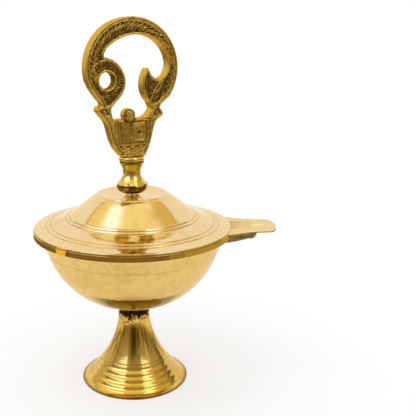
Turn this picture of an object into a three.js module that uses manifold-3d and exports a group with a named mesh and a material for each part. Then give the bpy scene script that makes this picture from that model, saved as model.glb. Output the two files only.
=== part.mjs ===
// A lidded brass oil lamp (diya). A hollow flared foot is brazed under a round bowl, a cast wick
// spout is brazed into a notch in the bowl's rim, and a domed lid drops on to the rim. A cast
// ring-and-leaf finial stands on the lid, held by a stud with a washer and a nut under the crown.
//
// Millimetres, +Z up, the spout along +X. Foot, bowl and lid are turned about one upright axis.
// The origin lies on the ground below the middle of the lamp's length, so that axis stands at
// x = AXIS_X. Everything below is placed from the ground upwards, relative to the turning axis.
import * as THREE from "three";
import { mergeVertices } from "three/addons/utils/BufferGeometryUtils.js";
import Module from "manifold-3d";

// Foot
const FOOT_HEIGHT = 30.1;
const FOOT_RADIUS = 21.0;
const FOOT_LIP_EDGE = 0.2;
const FOOT_LIP_HEIGHT = 0.7;
const FOOT_LIP_SPREAD = 1.8;
const FOOT_RIM_WIDTH = 1.6;
const FOOT_WALL = 1.0;
const FOOT_NECK_RADIUS = 5.95;
const FOOT_NECK_LENGTH = 2.1;
const FOOT_NECK_CAP = 1.5;
const FOOT_GROOVE_HEIGHTS = [1.3, 3.1, 5.0, 6.8, 9.0];
const FOOT_GROOVE_DEPTH = 0.2;
const FOOT_BAND_SWELL = 0.15;
const BRAZE_FILLET = 1.0;

// Bowl: half an ellipsoid with a flat seat below and a flange round its mouth
const BOWL_RADIUS = 34.0;
const BOWL_DEPTH = 32.1;
const BOWL_WALL = 0.85;
const BOWL_SEAT_RADIUS = 6.6;
const BOWL_SEAT_PROUD = 0.3;
const BOWL_BAND_HEIGHT = 6.1;
const BOWL_BAND_PROUD = 0.25;
const FLANGE_WIDTH = 3.8;
const FLANGE_THICKNESS = 1.7;

// Spout: a flat tongue with a wick channel sunk into it, and the channel's keel below
const SPOUT_REACH = 54.7;
const SPOUT_HALF_WIDTH = 8.0;
const SPOUT_ROOT_HALF_WIDTH = 14.0;
const SPOUT_FLARE_GAP = 0.4;
const SPOUT_PLATE = 0.85;
const SPOUT_TIP_ROUND = 4.2;
const SPOUT_TIP_SQUARENESS = 2.4;
const SPOUT_WALL = 0.9;
const CHANNEL_HALF_WIDTH = 5.8;
const CHANNEL_DEPTH = 6.2;
const CHANNEL_TAPER_GAP = 2.0;
const CHANNEL_DEEP_SETBACK = 10.4;
const CHANNEL_RAMP_SETBACK = 6.9;
const CHANNEL_TIP_SETBACK = 3.7;
const CHANNEL_WIDTH_POWER = 0.6;
const CHANNEL_DEPTH_POWER = 0.4;
const KEEL_ROOT_DEPTH = 1.2;
const BRAZE_LENGTH = 1.0;
const BRAZE_SWELL = 0.9;

// Lid
const LID_SETBACK = 0.4;
const LID_EDGE = 0.4;
const LID_EDGE_ROUND = 0.7;
const LID_WALL = 0.8;
const LID_LAND_WIDTH = 1.6;
const BRIM_GROOVE_INSET = 5.35;
const BRIM_GROOVE_RISE = 1.65;
const BRIM_WIDTH = 10.9;
const DOME_FOOT_RISE = 3.6;
const CROWN_RADIUS = 13.0;
const CROWN_RISE = 12.8;
const CROWN_DISH = 0.75;
const CROWN_FLAT_RADIUS = 4.6;
const ENGRAVING_DEPTH = 0.2;
const OUTER_RING_SPACING = 1.7;
const INNER_RING_SPACING = 1.2;
const LOCATING_RING_WALL = 1.0;
const LOCATING_RING_DROP = 1.5;

// Finial
const BEAD_HEIGHT = 1.25;
const BEAD_RADIUS = 2.9;
const BEAD_WAIST_RADIUS = 2.2;
const STEM_HEIGHT = 13.8;
const STEM_BASE_RADIUS = 3.9;
const STEM_UNDER_HEIGHT = 2.0;
const STEM_LIP_RADIUS = 5.9;
const STEM_LIP_HEIGHT = 3.3;
const STEM_NECK_RADIUS = 3.2;
const STEM_NECK_HEIGHT = 8.3;
const COLLAR_RADIUS = 4.75;
const COLLAR_HEIGHT = 2.0;
const ORNAMENT_HEIGHT = 50.2;
const ORNAMENT_THICKNESS = 5.0;
const ORNAMENT_TURN = THREE.MathUtils.degToRad(26);
const STUD_RADIUS = 1.5;
const STUD_DEPTH_IN_STEM = 8.0;
const STUD_TAIL = 0.7;
const WASHER_RADIUS = 4.0;
const WASHER_THICKNESS = 0.5;
const NUT_ACROSS_FLATS = 5.5;
const NUT_HEIGHT = 2.4;

// Clearances
const JOINT_GAP = 0.3;
const LID_SEAT_GAP = 0.2;
const MOUTH_CLEARANCE = 0.7;
const STUD_CLEARANCE = 0.2;

// Facets
const TURNED_SEGMENTS = 48;
const SMALL_SEGMENTS = 24;

// Heights above the ground and radii that follow from the sizes above
const FLANGE_RADIUS = BOWL_RADIUS + FLANGE_WIDTH;
const BOWL_SEAT_Z = FOOT_HEIGHT;
const BOWL_BOTTOM_Z = BOWL_SEAT_Z + BOWL_SEAT_PROUD;
const FLANGE_TOP_Z = BOWL_BOTTOM_Z + BOWL_DEPTH;
const FLANGE_UNDER_Z = FLANGE_TOP_Z - FLANGE_THICKNESS;
const LID_Z = FLANGE_TOP_Z + LID_SEAT_GAP;
const CROWN_SEAT_Z = LID_Z + CROWN_RISE - CROWN_DISH;
const STEM_Z = CROWN_SEAT_Z + BEAD_HEIGHT;
const ORNAMENT_Z = STEM_Z + STEM_HEIGHT;
const STUD_HOLE_RADIUS = STUD_RADIUS + STUD_CLEARANCE;
const AXIS_X = -(SPOUT_REACH - FLANGE_RADIUS) / 2;
const LID_RADIUS = FLANGE_RADIUS - LID_SETBACK;
const DOME_FOOT_RADIUS = LID_RADIUS - BRIM_WIDTH;

// Places along the spout, from the turning axis
const SPOUT_FLARE_START = BOWL_RADIUS + SPOUT_FLARE_GAP;
const KEEL_ROOT = BOWL_RADIUS - KEEL_ROOT_DEPTH;
const CHANNEL_TAPER_START = BOWL_RADIUS + CHANNEL_TAPER_GAP;
const CHANNEL_DEEP_END = SPOUT_REACH - CHANNEL_DEEP_SETBACK;
const CHANNEL_RAMP_END = SPOUT_REACH - CHANNEL_RAMP_SETBACK;
const CHANNEL_TIP = SPOUT_REACH - CHANNEL_TIP_SETBACK;

const POLISHED_BRASS = { color: 0xe2bd6c, roughness: 0.18, metalness: 1 };
const CAST_BRASS = { color: 0xb28a35, roughness: 0.42, metalness: 1 };
const SCORCHED_BRAZE = { color: 0x3b2c1c, roughness: 0.7, metalness: 0.6 };
const FASTENER_BRASS = { color: 0xc29a4e, roughness: 0.35, metalness: 1 };

const manifold = await Module();
manifold.setup();

// A closed three.js geometry as a solid, with only its positions kept.
function solidFrom(geometry) {
  const bare = geometry.index ? geometry.toNonIndexed() : geometry.clone();
  bare.deleteAttribute("normal");
  bare.deleteAttribute("uv");
  const merged = mergeVertices(bare, 1e-4);
  return new manifold.Manifold(
    new manifold.Mesh({
      numProp: 3,
      vertProperties: merged.attributes.position.array,
      triVerts: new Uint32Array(merged.index.array),
    }),
  );
}

// A solid as a three.js geometry again.
function geometryFrom(solid) {
  const mesh = solid.getMesh();
  const geometry = new THREE.BufferGeometry();
  geometry.setAttribute("position", new THREE.BufferAttribute(mesh.vertProperties, 3));
  geometry.setIndex(new THREE.BufferAttribute(mesh.triVerts, 1));
  geometry.computeVertexNormals();
  return geometry;
}

// A closed outline of [radius, height] points turned about +Z. The outline runs with the metal on
// its left, and a first or last point on the axis closes it there.
function turned(outline, segments = TURNED_SEGMENTS) {
  const points = outline.map(([radius, height]) => new THREE.Vector2(radius, height));
  if (outline[0][0] > 0) {
    points.push(points[0].clone());
  }
  return new THREE.LatheGeometry(points, segments).rotateX(Math.PI / 2);
}

// Shapes a flat outline in X and Y, between two heights.
function plate(points, bottom, top) {
  const geometry = new THREE.ExtrudeGeometry(new THREE.Shape(points), {
    depth: top - bottom,
    bevelEnabled: false,
  });
  return geometry.translate(0, 0, bottom);
}

// The line of [radius, height] points moved by a distance to its left.
function offsetLine(line, distance) {
  return line.map(([radius, height], i) => {
    const before = line[Math.max(i - 1, 0)];
    const after = line[Math.min(i + 1, line.length - 1)];
    const run = after[0] - before[0];
    const rise = after[1] - before[1];
    const length = Math.hypot(run, rise);
    return [radius - (rise / length) * distance, height + (run / length) * distance];
  });
}

// The height of a line of [radius, height] points at one radius.
function heightAt(line, radius) {
  const i = line.findIndex((point, k) => k > 0 && (line[k - 1][0] - radius) * (point[0] - radius) <= 0);
  const [r0, z0] = line[i - 1];
  const [r1, z1] = line[i];
  return z0 + ((radius - r0) / (r1 - r0)) * (z1 - z0);
}

// The foot's flare from its lip up to its neck, as [radius, height] points.
function footFlare(steps) {
  const rise = FOOT_HEIGHT - FOOT_NECK_LENGTH - FOOT_LIP_HEIGHT;
  const spread = FOOT_RADIUS - FOOT_LIP_SPREAD - FOOT_NECK_RADIUS;
  const point = (outwards, upwards) =>
    new THREE.Vector2(FOOT_NECK_RADIUS + spread * outwards, FOOT_LIP_HEIGHT + rise * upwards);
  const curve = new THREE.CubicBezierCurve(point(1, 0), point(0.87, 0.103), point(0.047, 0.445), point(0, 1));
  return curve.getPoints(steps).map((point) => [point.x, point.y]);
}

function footGeometry() {
  const byHeight = footFlare(40).map(([radius, height]) => [height, radius]);
  const radiusAt = (height) => heightAt(byHeight, height);
  const bands = FOOT_GROOVE_HEIGHTS.flatMap((groove, i) => {
    const line = [[radiusAt(groove) - FOOT_GROOVE_DEPTH, groove]];
    const next = FOOT_GROOVE_HEIGHTS[i + 1];
    if (next) {
      const middle = (groove + next) / 2;
      line.push([radiusAt(middle) + FOOT_BAND_SWELL, middle]);
    }
    return line;
  });
  const bandsTop = FOOT_GROOVE_HEIGHTS.at(-1);
  const flare = footFlare(10).filter(([, height]) => height > bandsTop + 0.5);
  const hollowTop = FOOT_HEIGHT - FOOT_NECK_CAP;
  const hollow = offsetLine(footFlare(10), FOOT_WALL).filter(
    ([radius, height]) => height > FOOT_WALL && height < hollowTop && radius < FOOT_RADIUS - FOOT_RIM_WIDTH,
  );
  return turned([
    [FOOT_RADIUS - FOOT_RIM_WIDTH, 0],
    [FOOT_RADIUS, 0],
    [FOOT_RADIUS, FOOT_LIP_EDGE],
    [FOOT_RADIUS - FOOT_LIP_SPREAD, FOOT_LIP_HEIGHT],
    ...bands,
    ...flare,
    [FOOT_NECK_RADIUS, FOOT_HEIGHT],
    [0, FOOT_HEIGHT],
    [0, hollowTop],
    [FOOT_NECK_RADIUS - FOOT_WALL, hollowTop],
    ...hollow.reverse(),
  ]);
}

// The scorched fillet of hard solder in the corner between the foot's neck and the bowl.
function neckBrazeGeometry() {
  const inner = FOOT_NECK_RADIUS + JOINT_GAP;
  const top = BOWL_SEAT_Z - JOINT_GAP;
  return turned([
    [inner, top - BRAZE_FILLET],
    [inner + BRAZE_FILLET * 0.2, top - BRAZE_FILLET * 0.9],
    [inner + BRAZE_FILLET * 0.35, top - BRAZE_FILLET * 0.4],
    [inner + BRAZE_FILLET * 0.65, top],
    [inner, top],
  ]);
}

// A quarter ellipse of the bowl's wall from its bottom to its mouth, as [radius, height] points.
function bowlWall(radius, depth, fromRadius, toHeight, steps) {
  const from = Math.asin(fromRadius / radius);
  const to = Math.acos((FLANGE_TOP_Z - toHeight) / depth);
  return Array.from({ length: steps + 1 }, (_, i) => {
    const angle = from + ((to - from) * i) / steps;
    return [radius * Math.sin(angle), FLANGE_TOP_Z - depth * Math.cos(angle)];
  });
}

function bowlBlank() {
  const grooveZ = FLANGE_UNDER_Z - BOWL_BAND_HEIGHT;
  const outside = bowlWall(BOWL_RADIUS, BOWL_DEPTH, BOWL_SEAT_RADIUS + BOWL_SEAT_PROUD, grooveZ, 9);
  const band = bowlWall(BOWL_RADIUS, BOWL_DEPTH, outside.at(-1)[0], FLANGE_UNDER_Z, 2)
    .slice(1)
    .map(([radius, height]) => [radius + BOWL_BAND_PROUD, height]);
  band.unshift([outside.at(-1)[0] + BOWL_BAND_PROUD, grooveZ + BOWL_BAND_PROUD]);
  const inside = bowlWall(BOWL_RADIUS - BOWL_WALL, BOWL_DEPTH - BOWL_WALL, 0, FLANGE_TOP_Z, 9);
  return turned([
    [0, BOWL_SEAT_Z],
    [BOWL_SEAT_RADIUS, BOWL_SEAT_Z],
    ...outside,
    ...band,
    [FLANGE_RADIUS, FLANGE_UNDER_Z],
    [FLANGE_RADIUS, FLANGE_TOP_Z],
    ...inside.reverse(),
  ]);
}

// The tongue's outline seen from above. It flares at its root, where it takes the flange's place,
// and its tip is a squarish round. A growth moves the whole outline outwards.
function tongueOutline(growth) {
  const half = SPOUT_HALF_WIDTH + growth;
  const root = SPOUT_ROOT_HALF_WIDTH + growth;
  const tipStart = SPOUT_REACH - SPOUT_TIP_ROUND;
  const wall = BOWL_RADIUS + BOWL_BAND_PROUD + JOINT_GAP - growth;
  const flare = new THREE.CubicBezierCurve(
    new THREE.Vector2(SPOUT_FLARE_START, root),
    new THREE.Vector2(SPOUT_FLARE_START + 4.1, root - 3.2),
    new THREE.Vector2(SPOUT_FLARE_START + 8.6, half + 0.1),
    new THREE.Vector2(tipStart, half),
  ).getPoints(9);
  const tip = Array.from({ length: 9 }, (_, i) => {
    const angle = (Math.PI / 2) * (1 - (i + 1) / 9);
    const power = 2 / SPOUT_TIP_SQUARENESS;
    return new THREE.Vector2(
      tipStart + (SPOUT_TIP_ROUND + growth) * Math.cos(angle) ** power,
      i < 8 ? half * Math.sin(angle) ** power : 0,
    );
  });
  const rootAngle = Math.asin(root / wall);
  const arc = Array.from({ length: 7 }, (_, i) => {
    const angle = (rootAngle * i) / 6;
    return new THREE.Vector2(wall * Math.cos(angle), wall * Math.sin(angle));
  });
  const upper = [...arc, ...flare, ...tip];
  const lower = upper.slice(1, -1).map((point) => new THREE.Vector2(point.x, -point.y));
  return [...upper, ...lower.reverse()];
}

// A boat-shaped solid along +X: at each station [x, half width, depth] it has a flat top and a
// rounded bottom. The top stands a little above the sections where it must cut clear.
function boat(stations, topZ, headroom = 0) {
  const sides = 10;
  const positions = [];
  const ring = ([x, half, depth]) => {
    const points = [];
    for (let i = 0; i <= sides; i++) {
      const angle = (Math.PI * i) / sides;
      points.push([x, -half * Math.cos(angle), topZ - depth * Math.sin(angle)]);
    }
    if (headroom > 0) {
      points.push([x, half, topZ + headroom], [x, -half, topZ + headroom]);
    }
    return points;
  };
  const rings = stations.map(ring);
  const count = rings[0].length;
  const face = (...corners) => corners.forEach((corner) => positions.push(...corner));
  for (let s = 0; s + 1 < rings.length; s++) {
    for (let i = 0; i < count; i++) {
      const next = (i + 1) % count;
      face(rings[s][i], rings[s][next], rings[s + 1][next]);
      face(rings[s][i], rings[s + 1][next], rings[s + 1][i]);
    }
  }
  const last = rings.length - 1;
  for (let i = 1; i + 1 < count; i++) {
    face(rings[0][0], rings[0][i + 1], rings[0][i]);
    face(rings[last][0], rings[last][i], rings[last][i + 1]);
  }
  const geometry = new THREE.BufferGeometry();
  geometry.setAttribute("position", new THREE.Float32BufferAttribute(positions, 3));
  return geometry;
}

// How much of the channel is left at a place along the spout, from one down to nothing at its tip.
function channelShare(x) {
  return Math.min((CHANNEL_TIP - x) / (CHANNEL_TIP - CHANNEL_TAPER_START), 1);
}

// The channel's section at a place along the spout before its ramp, as a boat's station. The keel's
// section is a skin larger.
function channelSection(x, skin = 0) {
  const share = channelShare(x);
  return [
    x,
    CHANNEL_HALF_WIDTH * share ** CHANNEL_WIDTH_POWER + skin,
    CHANNEL_DEPTH * share ** CHANNEL_DEPTH_POWER + skin,
  ];
}

function channelStations() {
  const middle = (CHANNEL_TAPER_START + CHANNEL_DEEP_END) / 2;
  return [
    ...[BOWL_RADIUS - 3, CHANNEL_TAPER_START, middle, CHANNEL_DEEP_END].map((x) => channelSection(x)),
    [CHANNEL_RAMP_END, CHANNEL_HALF_WIDTH * channelShare(CHANNEL_RAMP_END), SPOUT_PLATE * 0.6],
    [CHANNEL_TIP, 0.1, 0.05],
  ];
}

function keelStations(growth, rootX) {
  const along = [rootX, CHANNEL_TAPER_START, (CHANNEL_TAPER_START + CHANNEL_DEEP_END) / 2];
  const deep = [...along, CHANNEL_DEEP_END + 1].map((x) => channelSection(x, SPOUT_WALL + growth));
  const [, half, depth] = deep.at(-1);
  return [
    ...deep,
    [CHANNEL_RAMP_END - 0.5 + growth, half * 0.82, depth * 0.66],
    [CHANNEL_RAMP_END + growth, half * 0.62, SPOUT_PLATE * 1.2 + growth],
  ];
}

function spoutGeometry() {
  const tongue = solidFrom(plate(tongueOutline(0), FLANGE_TOP_Z - SPOUT_PLATE, FLANGE_TOP_Z));
  const keel = solidFrom(boat(keelStations(0, KEEL_ROOT), FLANGE_TOP_Z));
  const channel = solidFrom(boat(channelStations(), FLANGE_TOP_Z, 1));
  return geometryFrom(tongue.add(keel).subtract(channel));
}

function bowlGeometry() {
  const cutTop = FLANGE_TOP_Z + 1;
  const seat = solidFrom(plate(tongueOutline(JOINT_GAP), FLANGE_UNDER_Z - 0.01, cutTop));
  const notch = solidFrom(boat(keelStations(JOINT_GAP, BOWL_RADIUS - 5), FLANGE_TOP_Z, 1));
  return geometryFrom(solidFrom(bowlBlank()).subtract(seat).subtract(notch));
}

// The fillet of hard solder round the keel where it leaves the bowl's wall.
function spoutBrazeGeometry() {
  const clearRadius = BOWL_RADIUS + BOWL_BAND_PROUD + JOINT_GAP;
  const clearDepth = BOWL_DEPTH + BOWL_BAND_PROUD + JOINT_GAP;
  const topZ = FLANGE_TOP_Z - SPOUT_PLATE - JOINT_GAP;
  const collar = (swell, x0, x1) => {
    const half = CHANNEL_HALF_WIDTH + SPOUT_WALL + JOINT_GAP;
    const depth = CHANNEL_DEPTH + SPOUT_WALL + JOINT_GAP;
    const root = [x0, half + swell, depth + swell];
    const end = [x1, half + swell * 0.4, depth + swell * 0.4];
    return solidFrom(boat([root, end], FLANGE_TOP_Z));
  };
  const outer = collar(BRAZE_SWELL, clearRadius - 2, clearRadius + BRAZE_LENGTH);
  const inner = collar(0, clearRadius - 3, clearRadius + BRAZE_LENGTH + 1);
  const wall = turned([...bowlWall(clearRadius, clearDepth, 0, FLANGE_TOP_Z, 12), [0, FLANGE_TOP_Z]]);
  const above = new THREE.BoxGeometry(10, 4 * CHANNEL_HALF_WIDTH, 10).translate(clearRadius, 0, topZ + 5);
  return geometryFrom(outer.subtract(inner).subtract(solidFrom(wall)).subtract(solidFrom(above)));
}

// An engraved pair of rings on the lid, as small V cuts in its line of [radius, height] points.
function engraved(radius, spacing, heightOf) {
  return [radius - spacing / 2, radius + spacing / 2].flatMap((centre) => [
    [centre - ENGRAVING_DEPTH, heightOf(centre - ENGRAVING_DEPTH)],
    [centre, heightOf(centre) - ENGRAVING_DEPTH],
    [centre + ENGRAVING_DEPTH, heightOf(centre + ENGRAVING_DEPTH)],
  ]);
}

// The lid's upper surface from the stud hole out to the edge, without its engraved rings.
function lidTop() {
  const crownZ = LID_Z + CROWN_RISE;
  const dome = new THREE.CubicBezierCurve(
    new THREE.Vector2(CROWN_RADIUS, crownZ),
    new THREE.Vector2(CROWN_RADIUS + 3.1, crownZ - 1.1),
    new THREE.Vector2(DOME_FOOT_RADIUS - 5.1, LID_Z + DOME_FOOT_RISE + 1.7),
    new THREE.Vector2(DOME_FOOT_RADIUS, LID_Z + DOME_FOOT_RISE),
  );
  return [
    [STUD_HOLE_RADIUS, CROWN_SEAT_Z],
    [CROWN_FLAT_RADIUS, CROWN_SEAT_Z],
    ...dome.getPoints(9).map((point) => [point.x, point.y]),
    [LID_RADIUS - BRIM_GROOVE_INSET, LID_Z + BRIM_GROOVE_RISE],
    [LID_RADIUS - LID_EDGE_ROUND, LID_Z + LID_EDGE + LID_EDGE_ROUND * 0.4],
    [LID_RADIUS, LID_Z + LID_EDGE],
  ];
}

// The lid's under surface, a wall's thickness below the upper one, out to the land at its edge.
function lidUnder() {
  const landRadius = LID_RADIUS - LID_LAND_WIDTH;
  const under = offsetLine(lidTop(), -LID_WALL).filter(
    ([radius, height]) => radius < landRadius && height > LID_Z,
  );
  under[0][0] = STUD_HOLE_RADIUS;
  return [...under, [landRadius, LID_Z]];
}

function lidGeometry() {
  const top = lidTop();
  const heightOf = (radius) => heightAt(top, radius);
  const innerRing = DOME_FOOT_RADIUS - 1.7;
  const outerRing = LID_RADIUS - BRIM_GROOVE_INSET;
  const cuts = [
    ...engraved(innerRing, INNER_RING_SPACING, heightOf),
    ...engraved(outerRing, OUTER_RING_SPACING, heightOf),
  ];
  const clearOf = (radius) => cuts.every(([cut]) => Math.abs(cut - radius) > ENGRAVING_DEPTH);
  const plain = top.filter(([radius]) => clearOf(radius));
  const upper = [...plain, ...cuts].sort((a, b) => a[0] - b[0]);
  return turned([...lidUnder(), [LID_RADIUS, LID_Z], ...upper.reverse()]);
}

// The ring soldered under the lid that keeps it centred in the bowl's mouth.
function locatingRingGeometry() {
  const outer = BOWL_RADIUS - BOWL_WALL - MOUTH_CLEARANCE;
  const inner = outer - LOCATING_RING_WALL;
  const top = heightAt(lidUnder(), outer) - JOINT_GAP;
  const bottom = FLANGE_TOP_Z - LOCATING_RING_DROP;
  return turned([
    [inner, bottom],
    [outer, bottom],
    [outer, top],
    [inner, top],
  ]);
}

function crownBeadGeometry() {
  return turned(
    [
      [STUD_HOLE_RADIUS, CROWN_SEAT_Z],
      [BEAD_RADIUS, CROWN_SEAT_Z],
      [BEAD_RADIUS, CROWN_SEAT_Z + BEAD_HEIGHT * 0.2],
      [BEAD_WAIST_RADIUS, CROWN_SEAT_Z + BEAD_HEIGHT * 0.5],
      [BEAD_WAIST_RADIUS, CROWN_SEAT_Z + BEAD_HEIGHT * 0.75],
      [BEAD_RADIUS * 0.9, STEM_Z],
      [STUD_HOLE_RADIUS, STEM_Z],
    ],
    SMALL_SEGMENTS,
  );
}

// The turned stem: a bell with a rounded under side, a narrow neck and the collar that carries the
// ornament.
function stemGeometry() {
  const collarZ = ORNAMENT_Z - COLLAR_HEIGHT;
  const neckZ = STEM_Z + STEM_NECK_HEIGHT;
  const boreTop = STEM_Z + STUD_DEPTH_IN_STEM + JOINT_GAP;
  const under = new THREE.CubicBezierCurve(
    new THREE.Vector2(STEM_BASE_RADIUS, STEM_Z),
    new THREE.Vector2((STEM_BASE_RADIUS + STEM_LIP_RADIUS) / 2 + 0.3, STEM_Z + 0.1),
    new THREE.Vector2(STEM_LIP_RADIUS, STEM_Z + STEM_UNDER_HEIGHT - 0.9),
    new THREE.Vector2(STEM_LIP_RADIUS, STEM_Z + STEM_UNDER_HEIGHT),
  ).getPoints(4);
  const bell = new THREE.CubicBezierCurve(
    new THREE.Vector2(STEM_LIP_RADIUS - 0.15, STEM_Z + STEM_LIP_HEIGHT),
    new THREE.Vector2(STEM_LIP_RADIUS - 1.1, STEM_Z + STEM_LIP_HEIGHT + 0.9),
    new THREE.Vector2(STEM_NECK_RADIUS, neckZ - 2.3),
    new THREE.Vector2(STEM_NECK_RADIUS, neckZ),
  ).getPoints(5);
  return turned(
    [
      [STUD_HOLE_RADIUS, STEM_Z],
      ...under.map((point) => [point.x, point.y]),
      ...bell.map((point) => [point.x, point.y]),
      [STEM_NECK_RADIUS + 0.4, (neckZ + collarZ) / 2 + 0.6],
      [COLLAR_RADIUS - 0.3, collarZ],
      [COLLAR_RADIUS, collarZ + 0.4],
      [COLLAR_RADIUS, ORNAMENT_Z - 0.3],
      [COLLAR_RADIUS - 0.3, ORNAMENT_Z],
      [0, ORNAMENT_Z],
      [0, boreTop],
      [STUD_HOLE_RADIUS, boreTop],
    ],
    SMALL_SEGMENTS,
  );
}

// The ornament's outlines, drawn upright on a sheet whose origin is the middle of its foot. They
// are drawn for a casting of DRAWN_HEIGHT and scaled to ORNAMENT_HEIGHT.
const DRAWN_HEIGHT = 50.2;
const RING_CENTRE = [0.2, 32.1];
const RING_RADIUS = 18.1;
const RING_START = THREE.MathUtils.degToRad(-36);
const RING_END = THREE.MathUtils.degToRad(192);
const RIGHT_SIDE = [[4.6, 0], [5.6, 2.6], [6.8, 5.4], [7.9, 9.4], [9.3, 12.8], [12.0, 14.8]];
const RIGHT_NOTCH = [[11.6, 16.4], [10.9, 18.0], [12.4, 19.6]];
const LEFT_NOTCH = [[-16.2, 25.4], [-13.8, 22.0], [-12.3, 20.2], [-12.1, 19.2]];
const LEFT_SIDE = [[-13.5, 18.8], [-13.9, 17.4], [-12.9, 16.0], [-10.5, 12.8], [-9.2, 8.4], [-7.9, 5.0]];
const LEFT_FOOT = [[-6.3, 2.4], [-4.6, 0]];
const CURL_CENTRE = [-10.0, 28.1];
const CURL_HOLE_RADIUS = 3.05;
const CURL_EDGE = [[-10.9, 36.4], [-8.1, 35.5], [-5.4, 33.5], [-3.6, 30.8], [-2.9, 28.0], [-3.3, 25.0]];
const CURL_FOOT = [[-4.7, 22.4], [-7.1, 20.0], [-8.6, 18.0], [-8.5, 16.0], [-7.9, 13.9]];
const KNOB_CENTRE = [-1.35, 15.3];
const KNOB_RADIUS = 2.35;
const LEAF_FOOT = [[1.6, 14.0], [4.6, 14.2], [6.4, 15.6], [7.7, 17.3]];
const LEAF_EDGE = [[6.6, 19.6], [4.7, 22.4], [4.0, 25.4], [4.2, 28.0], [5.0, 30.4], [6.1, 32.2]];
const HOOK_EDGE = [[6.9, 30.6], [8.0, 29.0], [9.8, 28.0], [11.7, 28.3], [13.3, 29.6], [14.3, 31.6]];
const OPENING_EDGE = [[14.5, 33.8], [13.8, 36.6], [12.1, 39.5], [9.1, 42.1], [4.9, 43.7], [0.3, 43.9]];
const OPENING_END = [[-4.3, 42.8], [-7.5, 41.1], [-9.8, 39.3], [-11.0, 37.4]];

// A smooth line through hand-picked points, without its first point if that is shared.
function smooth(points, steps = 2) {
  const curve = new THREE.SplineCurve(points.map(([x, y]) => new THREE.Vector2(x, y)));
  return curve.getPoints((points.length - 1) * steps);
}

// Points on an arc, in radians from +X, both ends included.
function arc([x, y], radius, from, to, steps) {
  return Array.from({ length: steps + 1 }, (_, i) => {
    const angle = from + ((to - from) * i) / steps;
    return new THREE.Vector2(x + radius * Math.cos(angle), y + radius * Math.sin(angle));
  });
}

function ornamentGeometry() {
  const scale = ORNAMENT_HEIGHT / DRAWN_HEIGHT;
  const scaled = (points) => points.map((point) => point.clone().multiplyScalar(scale));
  const outside = [
    ...smooth([...RIGHT_SIDE, ...RIGHT_NOTCH]),
    ...arc(RING_CENTRE, RING_RADIUS, RING_START, RING_END, 38),
    ...smooth(LEFT_NOTCH),
    ...smooth([...LEFT_SIDE, ...LEFT_FOOT]),
  ];
  const opening = [
    ...smooth([...CURL_EDGE, ...CURL_FOOT]),
    ...arc(KNOB_CENTRE, KNOB_RADIUS, Math.PI * 1.18, -Math.PI * 0.16, 10),
    ...smooth(LEAF_FOOT),
    ...smooth(LEAF_EDGE),
    ...smooth([...HOOK_EDGE, ...OPENING_EDGE, ...OPENING_END]),
  ];
  const hole = arc(CURL_CENTRE, CURL_HOLE_RADIUS, 0, 2 * Math.PI, 20).slice(0, -1);
  const shape = new THREE.Shape(scaled(outside));
  shape.holes.push(new THREE.Path(scaled(opening)), new THREE.Path(scaled(hole)));
  const geometry = new THREE.ExtrudeGeometry(shape, {
    depth: ORNAMENT_THICKNESS,
    bevelEnabled: false,
  });
  return geometry.translate(0, 0, -ORNAMENT_THICKNESS / 2).rotateX(Math.PI / 2);
}

function studGeometry(length) {
  const geometry = new THREE.CylinderGeometry(STUD_RADIUS, STUD_RADIUS, length, SMALL_SEGMENTS);
  return geometry.rotateX(Math.PI / 2).translate(0, 0, length / 2);
}

function washerGeometry() {
  return turned(
    [
      [STUD_HOLE_RADIUS, 0],
      [WASHER_RADIUS, 0],
      [WASHER_RADIUS, WASHER_THICKNESS],
      [STUD_HOLE_RADIUS, WASHER_THICKNESS],
    ],
    SMALL_SEGMENTS,
  );
}

function nutGeometry() {
  const corner = NUT_ACROSS_FLATS / 2 / Math.cos(Math.PI / 6);
  const shape = new THREE.Shape(arc([0, 0], corner, 0, 2 * Math.PI, 6).slice(0, -1));
  const hole = arc([0, 0], STUD_HOLE_RADIUS, 0, 2 * Math.PI, SMALL_SEGMENTS).slice(0, -1);
  shape.holes.push(new THREE.Path(hole));
  return new THREE.ExtrudeGeometry(shape, { depth: NUT_HEIGHT, bevelEnabled: false });
}

function piece(name, geometry, finish, z = 0) {
  const mesh = new THREE.Mesh(geometry, new THREE.MeshStandardMaterial(finish));
  mesh.name = name;
  mesh.position.z = z;
  return mesh;
}

// What stands on the ground: foot, bowl and spout, held together by hard solder.
function baseGroup() {
  const group = new THREE.Group();
  group.add(
    piece("foot", footGeometry(), POLISHED_BRASS),
    piece("neck_braze", neckBrazeGeometry(), SCORCHED_BRAZE),
    piece("bowl", bowlGeometry(), POLISHED_BRASS),
    piece("spout", spoutGeometry(), POLISHED_BRASS),
    piece("spout_braze", spoutBrazeGeometry(), SCORCHED_BRAZE),
  );
  return group;
}

// What lifts off by the finial: the lid with its locating ring, and all that stands on it.
function lidGroup() {
  const crownUnderZ = CROWN_SEAT_Z - LID_WALL;
  const nutZ = crownUnderZ - WASHER_THICKNESS - NUT_HEIGHT;
  const studBottomZ = nutZ - STUD_TAIL;
  const studLength = STEM_Z + STUD_DEPTH_IN_STEM - studBottomZ;
  const group = new THREE.Group();
  group.add(
    piece("lid", lidGeometry(), POLISHED_BRASS),
    piece("lid_locating_ring", locatingRingGeometry(), POLISHED_BRASS),
    piece("crown_bead", crownBeadGeometry(), POLISHED_BRASS),
    piece("finial_stem", stemGeometry(), POLISHED_BRASS),
    piece("finial_stud", studGeometry(studLength), FASTENER_BRASS, studBottomZ),
    piece("stud_washer", washerGeometry(), FASTENER_BRASS, crownUnderZ - WASHER_THICKNESS),
    piece("stud_nut", nutGeometry(), FASTENER_BRASS, nutZ),
  );
  const ornament = new THREE.Group();
  ornament.add(piece("finial_ornament", ornamentGeometry(), CAST_BRASS));
  ornament.position.z = ORNAMENT_Z;
  ornament.rotation.z = ORNAMENT_TURN;
  group.add(ornament);
  return group;
}

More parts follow.
